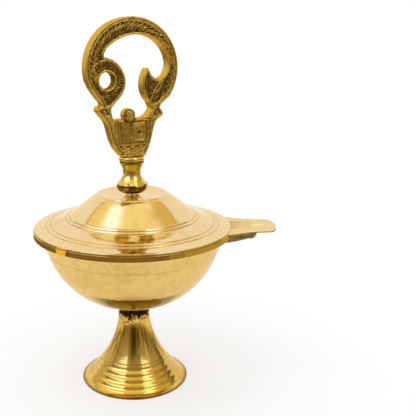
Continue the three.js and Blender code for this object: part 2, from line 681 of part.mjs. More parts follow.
const lamp = new THREE.Group();
lamp.add(baseGroup(), lidGroup());
lamp.position.x = AXIS_X;

export default lamp;
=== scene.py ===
"""Looks of a brass oil lamp with a spout, a domed lid and a cast ring finial.

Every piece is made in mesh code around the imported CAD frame. Sizes are in millimetres, measured from
the lamp's turning axis and from the ground, and become metres of the frame when a mesh is made. Only
the studio is in metres.
"""

import logging
import math
from dataclasses import dataclass
from enum import Enum
from functools import reduce

import bmesh
import bpy
import numpy as np
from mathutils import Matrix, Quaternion, Vector, geometry


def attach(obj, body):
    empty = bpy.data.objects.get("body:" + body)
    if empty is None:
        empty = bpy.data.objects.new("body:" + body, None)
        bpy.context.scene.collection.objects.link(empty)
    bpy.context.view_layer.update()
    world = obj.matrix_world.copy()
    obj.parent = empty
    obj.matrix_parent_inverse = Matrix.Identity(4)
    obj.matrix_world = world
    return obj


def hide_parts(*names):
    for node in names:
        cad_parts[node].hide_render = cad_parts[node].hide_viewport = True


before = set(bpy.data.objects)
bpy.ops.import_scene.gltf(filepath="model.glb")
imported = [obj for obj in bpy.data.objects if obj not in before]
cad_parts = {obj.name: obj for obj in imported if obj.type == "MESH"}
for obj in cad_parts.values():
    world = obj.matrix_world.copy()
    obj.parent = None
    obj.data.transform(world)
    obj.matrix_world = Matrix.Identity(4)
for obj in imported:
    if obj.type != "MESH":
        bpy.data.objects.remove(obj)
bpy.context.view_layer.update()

LOG = logging.getLogger("lamp")
TAU = 2 * math.pi
# A millimetre in metres, and a length too small to matter.
MM = 0.001
TINY = 1e-6
# The turning axis lies beside the frame's origin, because the origin is the middle of lamp and spout.
AXIS_X = -8.45
# Heights at which pieces meet: foot and bowl, under and top side of the flange, lid and bead, bead and
# stem, stem and ornament.
SEAT_Z = 30.1
FLANGE_LOW_Z = 60.5
MOUTH_Z = 62.5
CROWN_Z = 74.75
STEM_Z = 76.0
STEM_TOP_Z = 89.8
# Bore of lid, bead, stem and washer for the stud, and the radii of the lid's engraved rings.
STUD_BORE = 1.7
ENGRAVED_RINGS = (24.2, 25.4, 31.2, 32.9)

Shape = tuple[np.ndarray, list]
Socket = bpy.types.NodeSocket
Source = float | tuple | Socket


class Body(Enum):
    """The two moving bodies of the lamp."""

    BASE = "base"
    LID = "lid"


def smoothstep(value: np.ndarray, low: float, high: float) -> np.ndarray:
    """Rises smoothly from 0 at the low value to 1 at the high one."""
    share = np.clip((np.asarray(value, float) - low) / (high - low), 0, 1)
    return share * share * (3 - 2 * share)


def bump_at(value: np.ndarray, centre: float, half_width: float) -> np.ndarray:
    """A rounded hump of height 1 that has ended at half its width from the centre."""
    share = np.clip(np.abs(np.asarray(value, float) - centre) / half_width, 0, 1)
    return 0.5 + 0.5 * np.cos(math.pi * share)


def bezier(start: tuple, first: tuple, second: tuple, end: tuple, steps: int) -> np.ndarray:
    """Points of a cubic curve.

    Args:
        start: First point.
        first: Its handle.
        second: Handle of the last point.
        end: Last point.
        steps: Number of spans.

    Returns:
        An array of steps + 1 points.
    """
    share = np.linspace(0, 1, steps + 1)[:, None]
    back = 1 - share
    return (back ** 3 * np.array(start) + 3 * back ** 2 * share * np.array(first)
            + 3 * back * share ** 2 * np.array(second) + share ** 3 * np.array(end))


def smooth_line(points: list, steps: int) -> np.ndarray:
    """A smooth curve through points.

    Args:
        points: The points in order.
        steps: Spans between two of them.

    Returns:
        The curve's points, ends included.
    """
    known = [np.array(p, float) for p in points]
    made = []
    for i in range(len(known) - 1):
        start, end = known[i], known[i + 1]
        before = known[i - 1] if i else start
        after = known[i + 2] if i + 2 < len(known) else end
        leave, arrive = (end - before) / 2, (after - start) / 2
        for k in range(steps):
            t = k / steps
            made.append((2 * t ** 3 - 3 * t ** 2 + 1) * start + (t ** 3 - 2 * t ** 2 + t) * leave
                        + (3 * t ** 2 - 2 * t ** 3) * end + (t ** 3 - t ** 2) * arrive)
    made.append(known[-1])
    return np.array(made)


def resampled(points: np.ndarray, spacing: float) -> np.ndarray:
    """The same line with evenly spaced points.

    Args:
        points: Points of the line.
        spacing: Wanted distance between them.

    Returns:
        The new points, with the same ends.
    """
    points = np.asarray(points, float)
    run = np.r_[0, np.cumsum(np.linalg.norm(np.diff(points, axis=0), axis=1))]
    count = max(int(math.ceil(run[-1] / spacing)), 1)
    at = np.linspace(0, run[-1], count + 1)
    return np.stack([np.interp(at, run, points[:, k]) for k in range(points.shape[1])], axis=1)


def filleted(corners: list, steps: int = 5, guard: float = 0.02, most: float = 0.45) -> np.ndarray:
    """A line with rounded corners.

    Args:
        corners: Points as (r, z) or (r, z, radius of the corner).
        steps: Spans of each rounding.
        guard: Distance from a rounding to the extra point that keeps the flat beside it flat.
        most: Share of a side that a rounding may take.

    Returns:
        The line's points.
    """
    made = []
    for i, corner in enumerate(corners):
        here = np.array(corner[:2], float)
        radius = corner[2] if len(corner) > 2 else 0
        if not radius or i in (0, len(corners) - 1):
            made.append(here)
            continue
        back = np.array(corners[i - 1][:2], float) - here
        on = np.array(corners[i + 1][:2], float) - here
        reach = min(radius, most * np.linalg.norm(back), most * np.linalg.norm(on))
        back /= np.linalg.norm(back)
        on /= np.linalg.norm(on)
        start, end = here + back * reach, here + on * reach
        made.append(start + back * guard)
        for t in np.linspace(0, 1, steps + 1):
            made.append((1 - t) ** 2 * start + 2 * t * (1 - t) * here + t * t * end)
        made.append(end + on * guard)
    return np.array(made)


def line_normals(points: np.ndarray) -> np.ndarray:
    """Unit normals of a line, to its left.

    Args:
        points: Points of the line.

    Returns:
        One normal for each point.
    """
    along = np.gradient(points, axis=0)
    along /= np.maximum(np.linalg.norm(along, axis=1, keepdims=True), 1e-9)
    return np.stack([-along[:, 1], along[:, 0]], axis=1)


def arc(centre: tuple, radius: float | np.ndarray, angle: np.ndarray) -> np.ndarray:
    """Points round a centre, at angles in radians."""
    return np.stack([centre[0] + radius * np.cos(angle), centre[1] + radius * np.sin(angle)], axis=1)


def turns(count: int) -> np.ndarray:
    """Evenly spaced angles once round."""
    return np.arange(count) / count * TAU


def level_ring(radius: float | np.ndarray, height: float | np.ndarray, angle: np.ndarray) -> np.ndarray:
    """Points in space round the lamp's axis."""
    return np.column_stack([arc((0, 0), radius, angle), np.broadcast_to(height, angle.shape)])


def quads(first: np.ndarray, second: np.ndarray) -> list:
    """Faces between two rings of vertex numbers."""
    return np.stack([first, np.roll(first, -1), np.roll(second, -1), second], axis=1).tolist()


def revolve(profile: np.ndarray, segments: int) -> Shape:
    """Turns a profile about the lamp's axis.

    Args:
        profile: Points (radius, height); an end at radius 0 becomes a pole, and a profile without such
            ends is joined to its start.
        segments: Number of steps round the axis.

    Returns:
        Vertices in millimetres, centred on the axis, and faces.
    """
    angle = turns(segments)
    here = np.arange(segments)
    after = (here + 1) % segments
    vertices, first, faces = [], [], []
    count = 0
    for radius, height in profile:
        ring = level_ring(radius, height, angle if radius >= TINY else angle[:1])
        first.append(count)
        vertices.append(ring)
        count += len(ring)
    pairs = list(zip(range(len(profile) - 1), range(1, len(profile))))
    if profile[0][0] > TINY and profile[-1][0] > TINY:
        pairs.append((len(profile) - 1, 0))
    for low, high in pairs:
        a, b = first[low], first[high]
        pole_low, pole_high = len(vertices[low]) == 1, len(vertices[high]) == 1
        if pole_low and pole_high:
            continue
        if pole_low:
            faces += np.stack([np.full(segments, a), b + after, b + here], axis=1).tolist()
        elif pole_high:
            faces += np.stack([a + here, a + after, np.full(segments, b)], axis=1).tolist()
        else:
            faces += quads(a + here, b + here)
    return np.concatenate(vertices), faces


def loft(rings: list, capped: bool = True) -> Shape:
    """Joins rings with the same number of points.

    Args:
        rings: Arrays of points in order.
        capped: Whether both ends are closed; otherwise the last ring is joined to the first.

    Returns:
        Vertices and faces.
    """
    count = len(rings[0])
    here = np.arange(count)
    faces = []
    for k in range(len(rings) - capped):
        faces += quads(k * count + here, (k + 1) % len(rings) * count + here)
    if capped:
        faces.append(here[::-1].tolist())
        faces.append(((len(rings) - 1) * count + here).tolist())
    return np.concatenate(rings), faces


def make_mesh(name: str, shape: Shape, sharp: float) -> bpy.types.Object:
    """Makes a cleaned mesh object, with its place in the mesh.

    Args:
        name: Name of the piece.
        shape: Points in millimetres, centred on the axis, and the vertex numbers of each face.
        sharp: Angle in degrees from which an edge is drawn sharp.

    Returns:
        The object, linked to the scene.
    """
    vertices, faces = shape
    mesh = bpy.data.meshes.new(name)
    placed = (vertices + (AXIS_X, 0, 0)) * MM
    mesh.from_pydata(placed.tolist(), [], faces)
    work = bmesh.new()
    work.from_mesh(mesh)
    bmesh.ops.remove_doubles(work, verts=work.verts, dist=2 * TINY)
    bmesh.ops.dissolve_degenerate(work, edges=work.edges, dist=TINY)
    bmesh.ops.recalc_face_normals(work, faces=work.faces)
    work.to_mesh(mesh)
    work.free()
    mesh.shade_smooth()
    mesh.set_sharp_from_angle(angle=math.radians(sharp))
    piece = bpy.data.objects.new(name, mesh)
    bpy.context.scene.collection.objects.link(piece)
    return piece


def settle(piece: bpy.types.Object, body: Body, node: str, finish: "Finish") -> None:
    """Gives a piece its body, the node it stands for and its finish.

    Args:
        piece: The new object.
        body: Body that it rides on.
        node: CAD node that it replaces.
        finish: What its surface is made of.
    """
    piece.data.materials.append(finish.material())
    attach(piece, body.value)
    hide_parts(node)
    LOG.info("%s on %s, %d faces", piece.name, body.value, len(piece.data.polygons))


class Sheet:
    """A material's node sheet, with short calls for the nodes that the finishes share."""

    def __init__(self, name: str) -> None:
        """Makes an empty sheet.

        Args:
            name: Name of the material.
        """
        self.made = bpy.data.materials.new(name)
        self.made.use_nodes = True
        self.tree = self.made.node_tree
        self.tree.nodes.clear()

    def feed(self, socket: Socket, source: Source) -> None:
        """Links an output to a socket, or sets the socket's own value.

        Args:
            socket: The socket.
            source: An output, a number, a vector or a colour of three numbers.
        """
        if isinstance(source, Socket):
            self.tree.links.new(source, socket)
        elif socket.type == "RGBA":
            socket.default_value = (*source, 1)
        else:
            socket.default_value = source

    def node(self, kind: str, inputs: dict | None = None, **settings: object) -> bpy.types.Node:
        """Adds a node.

        Args:
            kind: Blender's name of the node.
            inputs: What goes into its sockets.
            **settings: The node's own settings.

        Returns:
            The node.
        """
        made = self.tree.nodes.new(kind)
        for key, setting in settings.items():
            setattr(made, key, setting)
        for key, source in (inputs or {}).items():
            self.feed(made.inputs[key], source)
        return made

    def point(self) -> Socket:
        """The point on the object in metres."""
        return self.node("ShaderNodeTexCoord").outputs["Object"]

    def place(self) -> Socket:
        """The point on the object in millimetres, centred on the turning axis."""
        return self.node("ShaderNodeVectorMath", {0: self.point(), 1: (1 / MM, 1 / MM, 1 / MM),
                                                  2: (-AXIS_X, 0, 0)}, operation="MULTIPLY_ADD").outputs[0]

    def maths(self, operation: str, first: Source, second: Source = 0.0) -> Socket:
        """Calculates with two numbers, by the operation that Blender names so."""
        return self.node("ShaderNodeMath", {0: first, 1: second}, operation=operation).outputs[0]

    def plus(self, *terms: Source) -> Socket:
        """Numbers added up."""
        return reduce(lambda total, term: self.maths("ADD", total, term), terms)

    def times(self, *factors: Source) -> Socket:
        """Numbers multiplied with each other."""
        return reduce(lambda total, factor: self.maths("MULTIPLY", total, factor), factors)

    def off(self, value: Source, middle: float) -> Socket:
        """How far a number lies from a middle value."""
        return self.maths("ABSOLUTE", self.maths("SUBTRACT", value, middle))

    def join(self, x: Source, y: Source, z: Source) -> Socket:
        """Makes a point of three numbers."""
        return self.node("ShaderNodeCombineXYZ", {0: x, 1: y, 2: z}).outputs[0]

    def split(self, vector: Socket) -> tuple:
        """The x, y and z of a point."""
        return tuple(self.node("ShaderNodeSeparateXYZ", {0: vector}).outputs)

    def parts(self, vector: Socket) -> tuple:
        """Splits a point.

        Args:
            vector: The point.

        Returns:
            Its x, y and z, its distance from the axis and its angle about it.
        """
        x, y, z = self.split(vector)
        flat = self.join(x, y, 0.0)
        radius = self.node("ShaderNodeVectorMath", {0: flat}, operation="LENGTH").outputs["Value"]
        return x, y, z, radius, self.maths("ARCTAN2", y, x)

    def noise(self, vector: Socket, scale: float, detail: float = 3, rough: float = 0.5,
              warp: float = 0) -> Socket:
        """Cloudy noise from 0 to 1.

        Args:
            vector: Point at which it is read.
            scale: Clouds in each millimetre.
            detail: Number of finer layers.
            rough: Strength of the finer layers.
            warp: How far the clouds are pulled about.

        Returns:
            The noise.
        """
        return self.node("ShaderNodeTexNoise", {"Vector": vector, "Scale": scale, "Detail": detail,
                                                "Roughness": rough, "Distortion": warp}).outputs["Fac"]

    def span(self, value: Source, low: float, high: float, start: float = 0, end: float = 1) -> Socket:
        """Maps low..high smoothly to start..end, held at the ends."""
        return self.node("ShaderNodeMapRange", {0: value, 1: low, 2: high, 3: start, 4: end},
                         interpolation_type="SMOOTHSTEP").outputs[0]

    def blend(self, share: Source, first: Source, second: Source, mode: str = "MIX") -> Socket:
        """Mixes two colours.

        Args:
            share: How much of the second shows.
            first: A colour or an output.
            second: A colour or an output.
            mode: How the two are mixed.

        Returns:
            The mixed colour.
        """
        made = self.node("ShaderNodeMix", data_type="RGBA", blend_type=mode, clamp_factor=True)
        for key, source in ((0, share), (6, first), (7, second)):
            self.feed(made.inputs[key], source)
        return made.outputs[2]

    def bump(self, height: Source, depth: float, onto: Socket | None = None) -> Socket:
        """Raises a surface.

        Args:
            height: Height from 0 to 1.
            depth: Millimetres that 1 stands for.
            onto: Normal of a coarser relief below it.

        Returns:
            The new normal.
        """
        inputs = {"Height": height, "Distance": depth * MM, "Strength": 1.0}
        if onto is not None:
            inputs["Normal"] = onto
        return self.node("ShaderNodeBump", inputs).outputs[0]

    def end(self, shader: bpy.types.Node) -> bpy.types.Material:
        """Gives a shader to the material."""
        self.node("ShaderNodeOutputMaterial", {"Surface": shader.outputs[0]})
        return self.made

    def light(self, colour: Source) -> bpy.types.Node:
        """A shader that gives off light of a colour."""
        return self.node("ShaderNodeEmission", {"Color": colour, "Strength": 1.0})

    def metal(self, colour: Source, rough: Source, normal: Socket, share: Source = 1.0,
              edge: tuple = (1.0, 0.93, 0.78)) -> bpy.types.Material:
        """Ends the sheet with a metal shader.

        Args:
            colour: Colour of the metal.
            rough: Its roughness.
            normal: Its relief.
            share: How far it is bare metal, and not a matt skin on it.
            edge: Tint of what it mirrors at a glancing angle.

        Returns:
            The finished material.
        """
        return self.end(self.node("ShaderNodeBsdfPrincipled", {
            "Metallic": share, "Base Color": colour, "Roughness": rough, "Normal": normal,
            "Specular Tint": edge}))


class Finish:
    """Something a surface can be made of."""

    def material(self) -> bpy.types.Material:
        """The material of this finish."""
        raise NotImplementedError


@dataclass(frozen=True)
class TurnedBrass(Finish):
    """Brass from the lathe: fine rings, a few rubbed patches and tarnish that deepens the colour."""

    name: str
    tone: tuple
    deep: tuple
    tarnish: float
    rough: float
    rings: float
    waves: float
    specks: float = 0.06
    mottle: float = 0.16

    def body(self, sheet: Sheet) -> tuple:
        """Builds what all turned brass shares.

        Args:
            sheet: The material's sheet.

        Returns:
            Place, its parts, colour, roughness and normal.
        """
        spot = sheet.place()
        x, y, z, radius, angle = sheet.parts(spot)
        turned = sheet.join(radius, z, sheet.times(angle, 0.35))
        fine = sheet.noise(turned, 1.9, 4, 0.62)
        broad = sheet.noise(turned, 0.33, 2, 0.5)
        cloud = sheet.noise(spot, 0.075, 5, 0.6, 0.4)
        stain = sheet.plus(sheet.span(cloud, 0.42, 0.72, 0, self.tarnish),
                           sheet.span(fine, 0.5, 0.75, 0, 0.10),
                           sheet.span(sheet.noise(spot, 1.6, 3, 0.7), 0.6, 0.8, 0, self.specks),
                           sheet.span(sheet.noise(spot, 0.42, 6, 0.72, 0.5), 0.44, 0.7, 0, self.mottle))
        rough = sheet.plus(sheet.span(fine, 0.3, 0.7, self.rough * 0.75, self.rough * 1.3),
                           sheet.span(cloud, 0.4, 0.75, 0.0, 0.07))
        normal = sheet.bump(fine, self.rings, sheet.bump(broad, self.waves))
        return (spot, x, y, z, radius, angle), sheet.blend(stain, self.tone, self.deep), rough, normal

    def material(self) -> bpy.types.Material:
        """The material of this finish."""
        sheet = Sheet(self.name)
        return sheet.metal(*self.body(sheet)[1:])


@dataclass(frozen=True)
class FootBrass(TurnedBrass):
    """Turned brass scorched by brazing, with dark streaks, green near the rim, a painted camera reflection
    and painted lip shade.
    """

    scorch: tuple = (0.03, 0.018, 0.010)
    # Dark streaks below the neck; also the colour of the painted camera reflection and of the painted shade
    # at the lip.
    dark_streaks_and_shade: tuple = (0.15, 0.07, 0.014)
    green: tuple = (0.36, 0.34, 0.14)
    scorch_height: float = 26.9

    def material(self) -> bpy.types.Material:
        """The material of this finish.

        Returns:
            The material, with the neck's crust raised.
        """
        sheet = Sheet(self.name)
        (spot, x, _, z, _, angle), colour, rough, normal = self.body(sheet)
        upright = sheet.join(sheet.times(angle, 9.0), sheet.times(z, 0.10), 0.0)
        # Dark vertical streaks on the neck.
        run = sheet.times(sheet.span(sheet.noise(upright, 0.42, 3, 0.6), 0.50, 0.64),
                          sheet.span(z, 7.0, 19.0), sheet.span(z, 29.0, 22.0), 0.85)
        colour = sheet.blend(run, colour, self.dark_streaks_and_shade)
        patch = sheet.times(sheet.span(sheet.noise(spot, 0.17, 4, 0.6, 0.6), 0.53, 0.64),
                            sheet.span(z, 13.0, 8.0), sheet.span(x, -6.0, -12.0), 0.5)
        colour = sheet.blend(patch, colour, self.green)
        # Painted dark reflection of the camera: a stripe down the front of the neck, on the camera's side.
        front = sheet.off(angle, -math.radians(90))
        painted_camera_reflection = sheet.times(sheet.span(front, 0.20, 0.03), sheet.span(z, 9.5, 17.0),
                             sheet.span(z, 25.0, 22.0), 0.85)
        colour = sheet.blend(painted_camera_reflection, colour, self.dark_streaks_and_shade)
        # Painted shade along the lip's bottom edge, where the foot meets the floor.
        colour = sheet.blend(sheet.span(z, 0.80, 0.25, 0.0, 0.85), colour, self.dark_streaks_and_shade)
        ragged = sheet.noise(spot, 0.7, 5, 0.7, 0.8)
        high = sheet.plus(z, sheet.span(ragged, 0.3, 0.7, -2.0, 2.0))
        burnt = sheet.span(high, self.scorch_height - 0.35, self.scorch_height + 0.35)
        colour = sheet.blend(burnt, colour, self.scorch)
        rough = sheet.plus(rough, sheet.times(burnt, 0.4))
        crust = sheet.times(sheet.noise(spot, 2.2, 4, 0.7), burnt)
        return sheet.metal(colour, rough, sheet.bump(crust, 0.25, normal))


@dataclass(frozen=True)
class BowlBrass(TurnedBrass):
    """Turned brass with a painted dark reflection low on the side toward the camera."""

    # Darkening multiplied in low on the camera's side: a painted reflection of the shaded foot.
    reflected_shade: tuple = (0.34, 0.36, 0.14)
    reflected_shade_low: float = 34.6
    reflected_shade_high: float = 42.6

    def material(self) -> bpy.types.Material:
        """The material of this finish.

        Returns:
            The material, smoother on the flange.
        """
        sheet = Sheet(self.name)
        (spot, _, _, z, _, angle), colour, rough, normal = self.body(sheet)
        # Painted dark reflection low on the camera's side, with a ragged top edge.
        high = sheet.plus(z, sheet.span(sheet.noise(spot, 0.30, 3, 0.6), 0.3, 0.7, -0.35, 0.35))
        reflected_shade_mask = sheet.times(sheet.span(high, self.reflected_shade_high + 0.3, self.reflected_shade_high - 0.3),
                              sheet.span(z, self.reflected_shade_low, self.reflected_shade_low + 2.4),
                              sheet.span(sheet.off(angle, -math.radians(86)), 0.74, 0.46))
        colour = sheet.blend(reflected_shade_mask, colour, self.reflected_shade, "MULTIPLY")
        rough = sheet.plus(rough, sheet.span(z, FLANGE_LOW_Z - 0.2, FLANGE_LOW_Z, 0.0, -0.12))
        return sheet.metal(colour, rough, normal)


@dataclass(frozen=True)
class SpoutBrass(TurnedBrass):
    """Cast brass: a satin channel, a filed plate and a keel left dull and streaked, with a painted shadow
    under the plate.
    """

    pale: tuple = (1.0, 0.79, 0.38)
    filed: tuple = (0.60, 0.40, 0.085)
    dull: tuple = (0.24, 0.145, 0.04)
    # Dark streaks, and the painted shadow under the plate.
    streaks_and_shadow: tuple = (0.045, 0.025, 0.008)
    plate_low: float = 61.65

    def material(self) -> bpy.types.Material:
        """The material of this finish.

        Returns:
            The material, with a matt channel.
        """
        sheet = Sheet(self.name)
        (_, x, y, z, _, _), colour, rough, normal = self.body(sheet)
        upward = sheet.split(sheet.node("ShaderNodeNewGeometry").outputs["Normal"])[2]
        below_top = sheet.span(z, MOUTH_Z - 0.02, MOUTH_Z - 0.12)
        inside = sheet.times(sheet.span(upward, 0.02, 0.12), below_top)
        side = sheet.times(sheet.span(upward, 0.10, -0.02), below_top)
        keel = sheet.span(z, self.plate_low + 0.05, self.plate_low - 0.15)
        colour = sheet.blend(inside, colour, self.pale)
        colour = sheet.blend(sheet.times(side, 0.8), colour, self.filed)
        colour = sheet.blend(sheet.times(side, keel), colour, self.dull)
        grime = sheet.noise(sheet.join(sheet.times(x, 0.18), y, z), 1.1, 4, 0.65, 0.4)
        # Painted shadow under the plate: plate edge and keel darken towards the plate's underside.
        plate_shadow = sheet.span(z, self.plate_low - 1.3, self.plate_low - 0.5, 0.0, 0.7)
        dark = sheet.times(sheet.plus(sheet.span(grime, 0.46, 0.60), plate_shadow), side, sheet.plus(keel, 0.35))
        # Darker on the sides of the tip.
        dark = sheet.plus(dark, sheet.times(side, sheet.span(x, 51.8, 53.6)))
        colour = sheet.blend(sheet.times(dark, 0.8), colour, self.streaks_and_shadow)
        rough = sheet.plus(rough, sheet.times(inside, 0.3), sheet.times(side, 0.12))
        share = sheet.maths("SUBTRACT", 1.0, inside)
        return sheet.metal(colour, rough, sheet.bump(grime, 0.05, normal), share)


@dataclass(frozen=True)
class LidBrass(TurnedBrass):
    """Turned brass with old polish left dark in its engraved rings."""

    ink: tuple = (0.40, 0.23, 0.05)

    def material(self) -> bpy.types.Material:
        """The material of this finish.

        Returns:
            The material, with slanting polishing marks.
        """
        sheet = Sheet(self.name)
        (spot, x, y, z, radius, _), colour, rough, normal = self.body(sheet)
        line = sheet.plus(*(sheet.span(sheet.off(radius, ring), 0.24, 0.08) for ring in ENGRAVED_RINGS))
        colour = sheet.blend(sheet.times(line, 0.7), colour, self.ink)
        tooling = sheet.noise(sheet.join(radius, 0.0, 0.0), 2.6, 3, 0.7)
        colour = sheet.blend(sheet.span(tooling, 0.5, 0.75, 0.0, 0.22), colour, self.deep)
        slant = sheet.join(sheet.plus(x, y), sheet.times(x, 0.10), z)
        brushed = sheet.times(sheet.span(sheet.noise(slant, 0.9, 4, 0.7), 0.46, 0.68),
                              sheet.span(sheet.noise(spot, 0.07, 2), 0.42, 0.60, 0.10, 0.55))
        colour = sheet.blend(brushed, colour, self.deep)
        return sheet.metal(colour, sheet.plus(rough, sheet.times(brushed, 0.12)), normal)


@dataclass(frozen=True)
class StemBrass(TurnedBrass):
    """Turned brass with a painted dark reflection round its lip, broken in places, and painted shade on its
    neck and under its collar.
    """

    # Dark colour of the painted reflection round the lip and of the painted shadow under the collar.
    painted_dark_tone: tuple = (0.15, 0.082, 0.016)
    # Yellow colour of the painted shade on the neck cone.
    shade: tuple = (0.36, 0.31, 0.0)
    lip_low: float = 75.8
    lip_high: float = 79.05
    collar_low: float = 88.05

    def material(self) -> bpy.types.Material:
        """The material of this finish.

        Returns:
            The material, with painted yellow shade on the neck.
        """
        sheet = Sheet(self.name)
        (spot, _, _, z, radius, _), colour, rough, normal = self.body(sheet)
        # Painted dark reflection round the lip's outer band, with gold showing through where the noise is
        # high.
        high = sheet.plus(z, sheet.span(sheet.noise(spot, 0.55, 3, 0.6, 0.3), 0.3, 0.7, -0.5, 0.35))
        lip = sheet.times(sheet.span(high, self.lip_high + 0.25, self.lip_high - 0.2),
                          sheet.span(z, self.lip_low, self.lip_low + 0.3), sheet.span(radius, 3.2, 3.8),
                          sheet.span(sheet.noise(spot, 0.42, 4, 0.65, 0.8), 0.54, 0.64, 1.0, 0.15))
        colour = sheet.blend(lip, colour, self.painted_dark_tone)
        # Painted shade on the neck cone, and a painted shadow line just under the collar.
        below = sheet.span(z, self.collar_low + 0.25, self.collar_low + 0.05)
        neck = sheet.times(sheet.span(z, self.collar_low - 4.5, self.collar_low - 2.8, 0.0, 0.7), below)
        colour = sheet.blend(neck, colour, self.shade)
        line = sheet.times(sheet.span(z, self.collar_low - 0.9, self.collar_low - 0.3, 0.0, 0.8), below)
        colour = sheet.blend(line, colour, self.painted_dark_tone)
        spots = sheet.times(sheet.span(sheet.noise(spot, 0.9, 4, 0.7), 0.60, 0.72, 0.0, 0.6),
                            sheet.span(z, 82.0, 84.0))
        return sheet.metal(sheet.blend(spots, colour, self.deep), rough, normal)


@dataclass(frozen=True)
class CastBrass(Finish):
    """Cast brass with dark antique colour left in the hollows and rubbed bright on the high places."""

    name: str
    bright: tuple = (0.80, 0.53, 0.125)
    face: tuple = (0.52, 0.335, 0.075)
    dark: tuple = (0.16, 0.094, 0.022)
    edge: tuple = (0.95, 0.68, 0.22)
    rough: float = 0.36
    grain: float = 0.05

    def material(self) -> bpy.types.Material:
        """The material of this finish.

        Returns:
            The material, which reads the mesh's marks for hollow and rubbed places.
        """
        sheet = Sheet(self.name)
        spot = sheet.place()
        coarse = sheet.noise(spot, 0.9, 4, 0.6, 0.3)
        grit = sheet.noise(spot, 2.6, 3, 0.7)
        hollow, rubbed = (sheet.node("ShaderNodeAttribute", attribute_name=mark).outputs["Fac"]
                          for mark in ("hollow", "rubbed"))
        deep = sheet.plus(hollow, sheet.span(coarse, 0.3, 0.75, -0.18, 0.22))
        colour = sheet.blend(sheet.span(deep, 0.15, 0.85), self.face, self.dark)
        worn = sheet.plus(rubbed, sheet.span(grit, 0.3, 0.7, -0.25, 0.2),
                          sheet.span(coarse, 0.3, 0.7, -0.25, 0.2))
        colour = sheet.blend(sheet.span(worn, 0.15, 0.9), colour, self.bright)
        rough = sheet.plus(sheet.span(grit, 0.3, 0.7, self.rough * 0.8, self.rough * 1.25),
                           sheet.times(hollow, 0.15))
        normal = sheet.bump(grit, self.grain, sheet.bump(coarse, self.grain * 1.6))
        return sheet.metal(colour, rough, normal, 1.0, self.edge)


@dataclass(frozen=True)
class Solder(Finish):
    """Hard solder and flux left from brazing: nearly black, rough, with bright grains."""

    name: str
    crust: tuple = (0.035, 0.02, 0.012)
    grain: tuple = (0.55, 0.36, 0.13)
    bright: float = 0.68

    def material(self) -> bpy.types.Material:
        """The material of this finish.

        Returns:
            The material, lumpy and gritty.
        """
        sheet = Sheet(self.name)
        spot = sheet.place()
        lumps = sheet.noise(spot, 1.3, 4, 0.65, 0.5)
        fleck = sheet.span(lumps, self.bright - 0.05, self.bright + 0.05)
        normal = sheet.bump(sheet.noise(spot, 3.4, 3, 0.6), 0.08, sheet.bump(lumps, 0.3))
        colour = sheet.blend(fleck, self.crust, self.grain)
        return sheet.metal(colour, sheet.span(fleck, 0, 1, 0.72, 0.32), normal)


def from_pole(profile: np.ndarray) -> np.ndarray:
    """A closed profile started at the second of its two points on the axis, so that both are ends."""
    return np.roll(profile, -np.where(profile[:, 0] < TINY)[0][1], axis=0)


